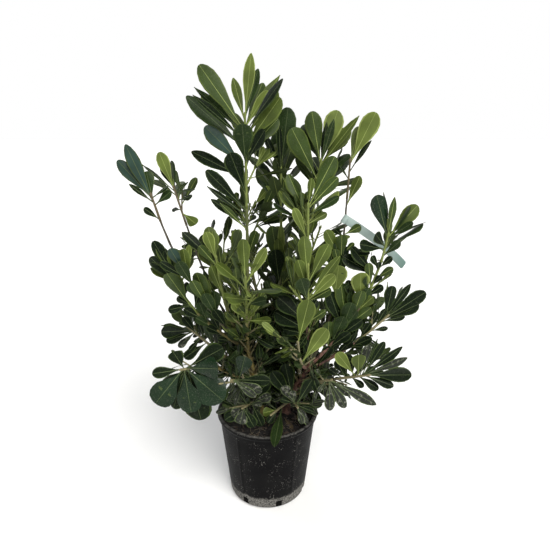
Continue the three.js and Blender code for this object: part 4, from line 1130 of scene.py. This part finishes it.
# %% [markdown]
# ## Twigs and buds
# The leafy ends of the shoots are thin green or brown wood that ends in a small pointed bud. They are the
# same rings as the boughs, only fewer, and the last rings swell and close to make the bud. Low twigs have
# lost their green and are paler.

# %% Twig pieces
TWIG_SIDES, TWIG_STEP, PALE_HEIGHT = 7, 7, 430
TWIG_RADII = [(2.55, 2.0), (1.9, 1.5), (1.5, 1.2)]  # of leafy stems, side twigs and fine twigs
# The bud's rings: how far on each one is, and its radius as a share of the tip's.
BUD = np.array([[1.5, 1.15], [3.0, 1.2], [4.6, 0.95], [6.2, 0.55], [7.2, 0.12]])


def twig_part(spray, seed):
    """A twig's rings, with scars and a bud at the tip. Its finish goes by its shoot and height."""
    count = max(3, int(distances(spray.limb)[-1] / TWIG_STEP))
    path = at_share(spray.limb, np.linspace(0, 1, count))
    girth = TWIG_RADII[spray.order]
    radii = mix(*girth, np.linspace(0, 1, count)) * scars(path, "twig", seed)
    radii = radii * THIN_SHOOTS.get(spray.shoot.name, 1) ** 0.5
    bud = path[-1] + unit(path[-1] - path[-2]) * BUD[:, :1]
    radii = np.concatenate([radii, girth[1] * BUD[:, 1]])
    slot = 1 if spray.shoot.name in THIN_SHOOTS else 2 * int(spray.limb[-1, 2] < PALE_HEIGHT)
    return *tube(np.concatenate([path, bud]), radii, TWIG_SIDES), slot


def wood(name, dark, light):
    return finish(name, 0.6, Base_Color=lambda place: place.noise(10, 3).blend(dark, light),
                  Normal=lambda place: place.noise(2, 3).bump(0.25))


green_twig = wood("green_twig", tone(72, 88, 36), tone(132, 142, 66))
brown_twig = wood("brown_twig", tone(58, 50, 34), tone(104, 92, 60))
pale_twig = wood("pale_twig", tone(88, 82, 56), tone(146, 138, 100))
for side in [*STEMS, "inner"]:
    own = [spray for spray in sprays if spray.shoot.stem == side and spray.limb is not None]
    points, faces, slots = join([twig_part(spray, k) for k, spray in enumerate(own)])
    twigs = piece(f"{side}_twigs", points, faces, [green_twig, brown_twig, pale_twig], slots)

# %% [markdown]
# ## One leaf, many times
# A pittosporum leaf is spoon-shaped: a short stalk, a long wedge, and a broad rounded tip, with a pale
# midrib and edges that roll under. A picture on a flat card would look thin from the side, so each leaf is
# a closed mesh of a few dozen faces in its own outline. One function makes every leaf at once: its two
# parameters are how far along and how far across, and each leaf has its own fold, roll, droop and twist.
# The broadest leaves have wavy outlines.

# %% Leaf shape
ALONG = np.array([0.0, 0.1, 0.25, 0.42, 0.58, 0.72, 0.84, 0.93, 0.978, 0.996])
ACROSS = np.array([-1.0, -0.84, 0.0, 0.0, 0.84, 1.0])
MIDRIB = np.array([0.0, 0.0, -1.0, 1.0, 0.0, 0.0])
STALK = 0.09  # share of the length
BROAD, SCALLOP, SCALLOPS = 0.55, 0.07, 14  # a leaf wider than a share of its length has a wavy outline
WAVE, WAVES = 0.12, 9  # height of the waves at the edge, and their turn along the leaf
RIB_HALF, LEAST_HALF = (0.62, 0.2), 0.95  # the midrib's half width from stalk to tip, and the blade's least
KEEL, KEEL_TAPER, LEAST_KEEL = 1.5, 2.4, 0.5  # its depth at the stalk, how fast it thins, and its least
Form = namedtuple("Form", "width fold roll droop twist wave scallop point")


def leaf_forms(share, upturn, width, rng):
    """Each leaf's own shape.

    Older leaves droop more, the youngest stay folded, and the leaves of upright shoots bend up. A leaf
    with a width of its own is kept still. A narrow one is folded and pointed, and a broad one scalloped.
    """
    count, still = len(share), width > 0
    droop = rng.uniform(-0.03, 0.16, count) + 0.06 * (1 - share) - 0.16 * np.clip(upturn - 0.4, 0, 1)
    fold = rng.uniform(0.02, 0.24, count) + 0.25 * np.clip(share - 0.7, 0, 1)
    narrow = np.clip((0.27 - width) / 0.12, 0, 1)
    return Form(
        width=np.where(still, width, rng.uniform(0.27, 0.37, count)),
        fold=np.where(still, mix(0.12, 0.6, narrow), fold),
        roll=rng.uniform(0.1, 0.42, count),
        droop=np.where(still, 0.02, droop),
        twist=rng.normal(0, 0.22, count) * np.where(still, 0.5, 1),
        wave=rng.uniform(0, 2 * np.pi, count),
        scallop=np.where(width > BROAD, SCALLOP, 0),
        point=np.where(still, narrow, rng.uniform(0, 0.25, count)),
    )


def spoon(x):
    """Half width of the blade from base, 0, to tip, 1: a wedge, widest at three quarters, rounded off."""
    return x ** 0.35 * np.sin(np.pi * x ** 1.9) ** 0.55 / 0.89


def lance(x):
    """Half width of a folded leaf: widest in the middle and pointed."""
    return np.sin(np.pi * x ** 1.4)


def leaf_points(leaves, form):
    """All leaves at once, as leaf x row x column points. The keel below is two more columns.

    A point is root + along s + across u + up h. Across is the half width, of a spoon or a lance, that a
    sine makes wavy on broad leaves, and the midrib is a strip that narrows from stalk to tip. The
    height h folds up from the midrib, rolls down at the edge, waves a little, and droops with a power
    of s. The two sides turn about the midrib by the leaf's twist. The keel hangs under the midrib.
    """
    def each(values):
        return np.asarray(values)[:, None, None]
    s = ALONG[None, :, None]
    length = each(leaves.length)
    blade_s = np.clip((s - STALK) / (1 - STALK), 0, 1)
    blade = mix(spoon(blade_s), lance(blade_s), each(form.point))
    blade = blade * (1 + each(form.scallop) * np.sin(SCALLOPS * s + each(form.wave)))
    half = np.maximum(each(form.width) / 2 * length * blade, LEAST_HALF)
    u = ACROSS + MIDRIB * np.minimum(0.5, mix(*RIB_HALF, s) / half)
    lift = each(form.fold) * np.abs(u) - each(form.roll) * np.abs(u) ** 3
    lift = lift + WAVE * np.sin(WAVES * s + each(form.wave)) * u * np.abs(u)
    y, z = half * u, half * lift * blade
    keel = z[..., 2:4] - np.maximum(LEAST_KEEL, KEEL - KEEL_TAPER * s)
    y, z = np.concatenate([y, y[..., 2:4]], axis=2), np.concatenate([z, keel], axis=2)
    turn = each(form.twist) * s
    sag = -each(form.droop) * length * s ** 2.2
    x = s * length + np.zeros_like(y)
    y, z = np.cos(turn) * y - np.sin(turn) * z, np.sin(turn) * y + np.cos(turn) * z + sag
    across = np.cross(leaves.up, leaves.along)
    axes = [axis[:, None, None] for axis in (leaves.along, across, leaves.up)]
    return leaves.root[:, None, None] + sum(v[..., None] * axis for v, axis in zip((x, y, z), axes))


# Columns of each strip of a leaf, and what it is: 0 blade, 1 midrib, 2 underside, 3 margin.
STRIPS = [(1, 0, 3), (2, 1, 0), (3, 2, 1), (4, 3, 0), (5, 4, 3), (0, 6, 2), (6, 7, 1), (7, 5, 2)]


def leaf_faces():
    """Faces of one leaf, strip by strip, its two ends last, and what each face is."""
    rows, columns = len(ALONG), len(ACROSS) + 2
    row = np.arange(rows - 1)[:, None] * columns
    first, second, kind = (np.array(values) for values in zip(*STRIPS))
    faces = np.stack([row + first, row + second, row + second + columns, row + first + columns], axis=-1)
    kinds = np.where(row == 0, 1, kind)
    round_end = [0, 1, 2, 3, 4, 5, 7, 6]
    ends = [round_end, [(rows - 1) * columns + j for j in round_end[::-1]]]
    return faces.reshape(-1, 4).tolist() + ends, np.append(kinds.ravel(), [2, 2])


LEAF_FACES, LEAF_KINDS = leaf_faces()


def leaf_mesh(leaves, upturn, width, rng):
    """Points and faces of many leaves, one after another."""
    points = leaf_points(leaves, leaf_forms(leaves.share, upturn, width, rng))
    per_leaf = points[0].size // 3
    faces = [[j + k * per_leaf for j in face] for k in range(len(points)) for face in LEAF_FACES]
    return points.reshape(-1, 3), faces

# %% [markdown]
# ### Leaf colours
# Light falls on a crown unevenly and leaves age unevenly, and the greens are painted by place for both: the
# yellow-green at the tips on the right is partly young growth and partly painted sunlight, the bluish green
# on the far left is a painted reflection of the sky, the near-black green deep inside and low down is
# painted shade, and the dull dusty green near the pot is dust. A fine pattern would be lost on leaves this
# small, so every leaf simply gets one of a few finishes with a soft drift and some dust. Its shoot, its
# height and how deep it stands in the crown choose it, with a seeded draw to break that up.

# %% Leaf finishes
DRIFT = 0.16


def leaf_finish(name, colour, roughness, specks=0.0, gloss=0.14, grain=1.7):
    """A green that drifts lighter and darker in soft patches, with pale specks of a grain in millimetres."""
    low, high = [[*(np.array(colour[:3]) * k), 1.0] for k in (1 - DRIFT, 1 + DRIFT)]

    def greens(place):
        drift = place.noise(26, 1).rise(0.3, 0.7).blend(low, high)
        return (place.noise(grain, 3).rise(0.54, 0.68) * specks).blend(drift, tone(158, 158, 144))
    return finish(name, roughness, Specular_IOR_Level=gloss, Base_Color=greens,
                  Normal=lambda place: place.noise(5, 2).bump(0.35))


# Of these greens, the fresh one is partly young growth and partly painted sunlight, the bluish one is a
# painted sky reflection, and the dark one is a deep green with painted shade.
LEAF_FINISHES = [
    leaf_finish("leaf_fresh_sunlit", tone(88, 101, 45), 0.44),
    leaf_finish("leaf_olive", tone(67, 80, 31), 0.42, 0.04),
    leaf_finish("leaf_mid", tone(49, 64, 26), 0.4, 0.06),
    leaf_finish("leaf_deep", tone(33, 48, 21), 0.38, 0.08, 0.09),
    leaf_finish("leaf_green", tone(16, 36, 16), 0.27, 0.1, 0.2),
    leaf_finish("leaf_dark_painted_shade", tone(15, 26, 11), 0.38, 0.06, 0.06),
    leaf_finish("leaf_bluish_sky_sheen", tone(41, 60, 51), 0.36),
    leaf_finish("leaf_dusty", tone(36, 40, 33), 0.6, 0.36, 0.14, 5),
    leaf_finish("leaf_midrib", tone(130, 142, 78), 0.5),
    leaf_finish("leaf_midrib_dull", tone(80, 92, 58), 0.5),
    leaf_finish("leaf_underside", tone(58, 70, 38), 0.62),
    leaf_finish("leaf_underside_dull", tone(36, 41, 32), 0.68, 0.25),
]
MARGIN = [RIB, FRESH_SUNLIT, OLIVE, MID, GREEN, MID, UNDER, DULL_RIB]  # the edge of each blade tint
# How many of each shoot's leaves are fresh and olive: partly young growth, partly painted sunlight, more on
# the right.
FRESH_AND_SUNLIT_SHARE = {
    "leader": 0.4, "right_leader": 0.5, "centre_leader": 0.3, "right_spire": 0.6, "centre_right": 0.55,
    "right_shoulder": 0.45, "front_left": 0.5, "front_centre": 0.6, "front_right": 0.65, "front_low": 0.4,
    "left_shoulder": 0.3, "left_second": 0.2, "back_high": 0.4, "back_right": 0.35, "back_left": 0.35,
    "inner": 0.0,
}
# Higher leaves are more often fresh and olive: partly young growth, partly painted sunlight from above.
LIGHT_FROM, LIGHT_RISE = 320, 120  # fresh leaves start at this height, and are all there so much higher
DUST_FROM, DUST_FALL = 390, 190  # dust starts at this height, and is thickest so much lower
# Painted shade: leaves near this middle of the crown are drawn darker, less so towards these half sizes.
CROWN_MIDDLE, CROWN_HALF = np.array([15, 0, 380]), np.array([150, 140, 190])


def leaf_tints(spray, rng):
    """One finish for each leaf of a spray: its own, or one by the spray's place and a draw.

    Leaves of a spray share most of the draw. Some shoots have more fresh and olive leaves than others,
    higher up more than lower down: partly young growth and partly painted sunlight on the top and right of
    the crown. Leaves deep inside the crown and low leaves are drawn darker, as painted shade, low leaves are
    dusty, and some leaves on the far left get a bluish green that is a painted reflection of the sky.
    """
    if spray.tint is not None:
        return spray.tint
    tip = tips(spray.leaves)
    low = np.clip((DUST_FROM - tip[:, 2]) / DUST_FALL, 0, 1)
    inside = np.clip(1 - np.linalg.norm((tip - CROWN_MIDDLE) / CROWN_HALF, axis=1), 0, 1)
    own, dust = rng.uniform(0, 1, (2, len(tip)))
    chance = np.clip(mix(rng.uniform(0, 1), own, 0.45), 0, 1)
    # Painted sunlight, partly young growth: higher leaves of sunnier shoots are fresh and olive more often.
    light = np.clip((tip[:, 2] - LIGHT_FROM) / LIGHT_RISE, 0.06, 1) * FRESH_AND_SUNLIT_SHARE.get(spray.shoot.name, 0.14)
    # Painted shade: leaves deep inside the crown and low down are drawn darker.
    rest = (chance - light) / (1 - light) + inside * 0.6 + low * 0.25
    tint = np.select([chance < light * 0.5, chance < light, rest < 0.36, rest < 0.7],
                     [FRESH_SUNLIT, OLIVE, MID, DEEP], DARK_SHADE)
    tint = np.where(dust < 0.6 * low, DUSTY, tint)
    # Painted sky reflection: the far-left spire has bluish leaves.
    if spray.shoot.name == "left_spire":
        tint = np.where(chance < 0.4, BLUISH_SHEEN, DEEP)
    if spray.shoot.name == "left_low":
        tint = np.where(chance < 0.5, DEEP, DARK_SHADE)
    return tint

# %% [markdown]
# ### The leaves
# Leaves of one stem are one piece, and those of the inner twigs are another, all under the size where a
# mesh gets heavy. Leaf edges are marked sharp, so that the shading of the upper side doesn't run round to
# the underside.

# %% Leaf pieces
def mark_edges(made, rim):
    """Mark every edge whose two points are both on a leaf's rim as sharp."""
    mesh = made.data
    ends = np.empty(len(mesh.edges) * 2, dtype=np.int32)
    mesh.edges.foreach_get("vertices", ends)
    side = rim[ends.reshape(-1, 2)]
    sharp = (side[:, 0] == side[:, 1]) & (side[:, 0] > 0)
    mesh.edges.foreach_set("use_edge_sharp", sharp)


rng = np.random.default_rng(7)
rim_one = np.tile(np.array([1, 0, 0, 0, 0, 2, 0, 0]), len(ALONG))
for side in [*STEMS, "inner"]:
    own = [spray for spray in sprays if spray.shoot.stem == side]
    tints = np.concatenate([leaf_tints(spray, rng) for spray in own])
    upturn = np.concatenate([np.full(len(spray.leaves.share), spray.shoot.upturn) for spray in own])
    width = np.concatenate([np.zeros(len(spray.leaves.share)) if spray.width is None else spray.width
                            for spray in own])
    leaves = joined([spray.leaves for spray in own])
    points, faces = leaf_mesh(leaves, upturn, width, rng)
    under = np.where(tints == DUSTY, DULL_UNDER, UNDER)
    rib = np.where(tints <= MID, RIB, DULL_RIB)
    slots = np.stack([tints, rib, under, np.array(MARGIN)[tints]], axis=1)[:, LEAF_KINDS].ravel()
    made = piece(f"{side}_leaves", points, faces, LEAF_FINISHES, slots)
    mark_edges(made, np.tile(rim_one, len(tints)))
    if side in STEMS:
        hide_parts(*[f"foliage_{shoot.name}" for shoot in SHOOTS if shoot.stem == side])
    print(side, "leaves:", len(tints))

# %% [markdown]
# ## The label
# A bare plastic strip is looped round one bough and hangs from it. It is one flat ribbon: its path goes
# once round the bough and then runs on as the bowed tail, and a thin rectangle with rounded edges is
# carried along it. Nothing is printed on it. The far end of the tail is painted darker, as painted shade
# where it turns away from the light.

# %% Label
LABEL_WIDTH, LABEL_THICK, LABEL_BOW, LABEL_SAG = 15, 0.8, 7, 12
LABEL_LOOP, LABEL_CORNER = 5.2, 3  # radii of the loop round the bough and of the far corners


def label_points():
    """A thin rounded section carried once round the bough and then along the tail.

    The ring is a circle, drawn in by about a thickness where the tail lies over it. The tail bows by a
    parabola and its end sags by a cube. The far end is narrowed to round its corners.
    """
    along, behind = label_way, np.array([0.0, 1.0, 0.0])
    across = np.cross(along, behind)
    turn = np.linspace(0.25, 2 * np.pi, 40)
    radius = LABEL_LOOP - LABEL_THICK * 1.3 * (1 - turn / turn[-1])
    ring = np.stack([radius * np.sin(turn), radius * np.cos(turn)], axis=1)
    share = np.concatenate([np.linspace(0.02, 0.9, 40), [0.94, 0.97, 0.985, 0.995, 1.0]])
    tail = np.stack([LABEL_LENGTH * share, LABEL_LOOP + 4 * LABEL_BOW / 2 * share * (1 - share)], axis=1)
    path = np.concatenate([ring, tail])
    ahead = unit(np.gradient(path, axis=0))
    over = np.stack([-ahead[:, 1], ahead[:, 0]], axis=1)
    left = (path[-1] - path) @ [1, 0]
    corner = np.sqrt(np.clip(1 - (1 - left / LABEL_CORNER) ** 2, 0, 1))
    half = LABEL_WIDTH / 2 - LABEL_CORNER * (1 - np.where(left < LABEL_CORNER, corner, 1))
    section = np.array([[-1, 0.3], [-1, -0.3], [-0.96, -0.5], [0.96, -0.5], [1, -0.3], [1, 0.3],
                        [0.96, 0.5], [-0.96, 0.5]])
    flat = path[:, None] + over[:, None] * section[None, :, 1:] * LABEL_THICK
    points = label_root + flat[..., :1] * along + flat[..., 1:] * behind
    sag = LABEL_SAG * np.concatenate([np.zeros(len(ring)), share]) ** 3
    points = points + across * (half[:, None] * section[:, 0] - sag[:, None])[..., None]
    return points.reshape(-1, 3), len(path), len(section)


# The tail's far end is painted darker: painted shade where it turns away from the light.
def label_colour(place):
    end = place.axis(0).rise(0.215, 0.25)
    pale = place.noise(30, 2).blend(tone(138, 158, 152), tone(168, 184, 179))
    return end.blend(pale, tone(90, 118, 110))


pale_plastic = finish("pale_label_plastic_shaded_end", 0.38, Base_Color=label_colour,
                      Roughness=lambda place: place.noise(12, 3) * 0.25 + 0.28)
points, rows, columns = label_points()
label = piece("hanging_label", points, capped(rows, columns), [pale_plastic])
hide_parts("label")

# %% [markdown]
# ## Litter on the mix
# The top of the mix is never clean: chips of bark, dry fibres and a few fallen leaves lie on it. Chips are
# small boxes with uneven corners, fibres are thin tubes in loose arcs, and the fallen leaves come from the
# same leaf function, laid flat.

# %% Litter pieces
CHIPS, FIBRES, FALLEN = 150, 46, 16
CHIP_REACH, FIBRE_REACH, FALLEN_REACH = 84, 78, 58  # how far from the pot's middle they start
FIBRE_EDGE, FALLEN_EDGE = 87, 88  # how far out they may go
FIBRE_RINGS, FIBRE_SIDES = 9, 5


def surface_height(x, y):
    """Height of the mix at a place, from the same ripples as its top."""
    spot = np.stack([x, y, np.full_like(x, SOIL_TOP - SOIL_SINK)], axis=-1)
    return spot[..., 2] + soil_relief(spot)


def scatter(count, reach, rng):
    """Places spread evenly over the mix."""
    radius, turn = reach * np.sqrt(rng.uniform(0, 1, count)), rng.uniform(0, 2 * np.pi, count)
    return radius * np.cos(turn), radius * np.sin(turn)


def chip_points(count, rng):
    """Boxes of eight uneven corners, turned any way and sunk a third into the mix."""
    square = ((-1, -1), (1, -1), (1, 1), (-1, 1))
    corner = np.array([[x, y, z] for z in (-1, 1) for x, y in square], dtype=float)
    size = rng.uniform([2.5, 1.2, 0.6], [7, 3, 1.6], (count, 3))
    shape = corner * size[:, None] * rng.uniform(0.55, 1, (count, 8, 3))
    turn, lean = rng.uniform(0, 2 * np.pi, count), rng.normal(0, 0.3, count)
    x, y, z = (shape[..., k] for k in range(3))
    z = z + x * lean[:, None]
    cos, sin = np.cos(turn)[:, None], np.sin(turn)[:, None]
    east, north = scatter(count, CHIP_REACH, rng)
    middle = np.stack([east, north, surface_height(east, north) + size[:, 2] * 0.4], axis=-1)
    return np.stack([cos * x - sin * y, sin * x + cos * y, z], axis=-1) + middle[:, None]


def fibre_part(rng):
    """A dry root: an arc that hugs the mix."""
    east, north = scatter(1, FIBRE_REACH, rng)
    start, bend = rng.uniform(0, 2 * np.pi), rng.normal(0, 1.6)
    turn = start + bend * np.linspace(0, 1, FIBRE_RINGS)
    step = rng.uniform(1.5, 4.5)
    x, y = east + np.cumsum(np.cos(turn)) * step, north + np.cumsum(np.sin(turn)) * step
    shrink = np.minimum(1, FIBRE_EDGE / np.maximum(np.hypot(x, y), 1))
    x, y = x * shrink, y * shrink
    arch = 0.8 + 1.5 * np.sin(np.linspace(0, np.pi, FIBRE_RINGS))
    path = np.stack([x, y, surface_height(x, y) + arch], axis=-1)
    return *tube(path, np.linspace(0.5, 0.25, FIBRE_RINGS), FIBRE_SIDES), 1


CHIP_FACES = [[0, 3, 2, 1], [4, 5, 6, 7], [0, 1, 5, 4], [1, 2, 6, 5], [2, 3, 7, 6], [3, 0, 4, 7]]
chip_bark = wood("chip_bark", tone(34, 27, 21), tone(74, 60, 46))
dry_fibre = wood("dry_fibre", tone(74, 66, 52), tone(112, 102, 82))
rng = np.random.default_rng(11)
chips = [(chip, CHIP_FACES, 0) for chip in chip_points(CHIPS, rng)]
points, faces, slots = join(chips + [fibre_part(rng) for _ in range(FIBRES)])
litter = piece("litter", points, faces, [chip_bark, dry_fibre], slots)


def fallen_leaves(count, rng):
    """Leaves laid on the mix, any way round, with their tips level."""
    east, north = scatter(count, FALLEN_REACH, rng)
    root = np.stack([east, north, surface_height(east, north) + 2.0], axis=-1)
    turn = rng.uniform(0, 2 * np.pi, count)
    along = unit(np.stack([np.cos(turn), np.sin(turn), rng.uniform(0, 0.08, count)], axis=-1))
    side = unit(np.cross(UP, along))
    length = rng.uniform(34, 52, count)
    leaves = Leaves(root, along, np.cross(along, side), length, np.zeros(count))
    return only(leaves, np.hypot(*tips(leaves)[:, :2].T) < FALLEN_EDGE)


dry_leaf = leaf_finish("dry_leaf", tone(66, 57, 42), 0.75)
dry_rib = leaf_finish("dry_leaf_rib", tone(96, 86, 66), 0.75)
leaves = fallen_leaves(FALLEN, rng)
points, faces = leaf_mesh(leaves, leaves.share, leaves.share, rng)
slots = np.tile(np.array([0, 1, 0, 0])[LEAF_KINDS], len(leaves.share))
fallen = piece("fallen_leaves", points, faces, [dry_leaf, dry_rib], slots)

# %% [markdown]
# ## Floor, light and camera
# The floor is plain and pale. One large soft lamp stands high at the front on the right, as the daylight
# does in the picture, with a cool weak one behind on the left. The sky is pale low down and dim above, so
# the leaves keep their depth. The camera stands level with the upper crown and looks down at the pot.

# %% Stage
FLOOR_HALF = 30000
AIM = np.array([0, 0, 0.42])  # in metres, as are the lamps' places
SENSOR = 36.0


def lamp(name, place, spread, power, colour):
    """A far lamp that shines from a place towards the crown, with shadows as soft as its spread."""
    data = bpy.data.lights.new(name, "SUN")
    data.angle, data.energy, data.color = spread, power, colour
    made = stand(name, data)
    made.location = place
    way = AIM - np.array(place)
    made.rotation_euler = (np.arctan2(np.hypot(way[0], way[1]), -way[2]), 0, np.arctan2(-way[0], way[1]))


floor_points = np.array([[-1, -1, 0], [1, -1, 0], [1, 1, 0], [-1, 1, 0]]) * FLOOR_HALF
floor_mesh = bpy.data.meshes.new("floor")
floor_mesh.from_pydata((floor_points * MM).tolist(), [], [[0, 1, 2, 3]])
floor_mesh.materials.append(finish("floor", 0.9, Base_Color=tone(250, 250, 250)))
floor = stand("floor", floor_mesh)

world = bpy.data.worlds.new("pale_sky")
world.use_nodes = True
sky = world.node_tree.nodes["Background"]
sky.inputs["Color"].default_value = (1.0, 1.0, 1.0, 1.0)
way = Wire(world.node_tree.nodes.new("ShaderNodeTexCoord").outputs["Generated"])
plug(sky.inputs["Strength"], 1.0 - way.axis(2).rise(0.25, 0.6) * 0.82)
bpy.context.scene.world = world
lamp("key", (0.75, -1.3, 2.0), 0.8, 3.5, (1.0, 0.985, 0.95))
lamp("fill", (-1.1, 1.1, 1.9), 1.2, 0.9, (0.96, 0.98, 1.0))
bpy.context.scene.view_settings.view_transform = "Standard"

lens = bpy.data.cameras.new("camera")
lens.sensor_width, lens.lens = SENSOR, SENSOR * FOCAL / FRAME
camera = stand("camera", lens)
camera.location = EYE * MM
camera.rotation_euler = (np.radians(90 - PITCH), 0, 0)
bpy.context.scene.camera = camera
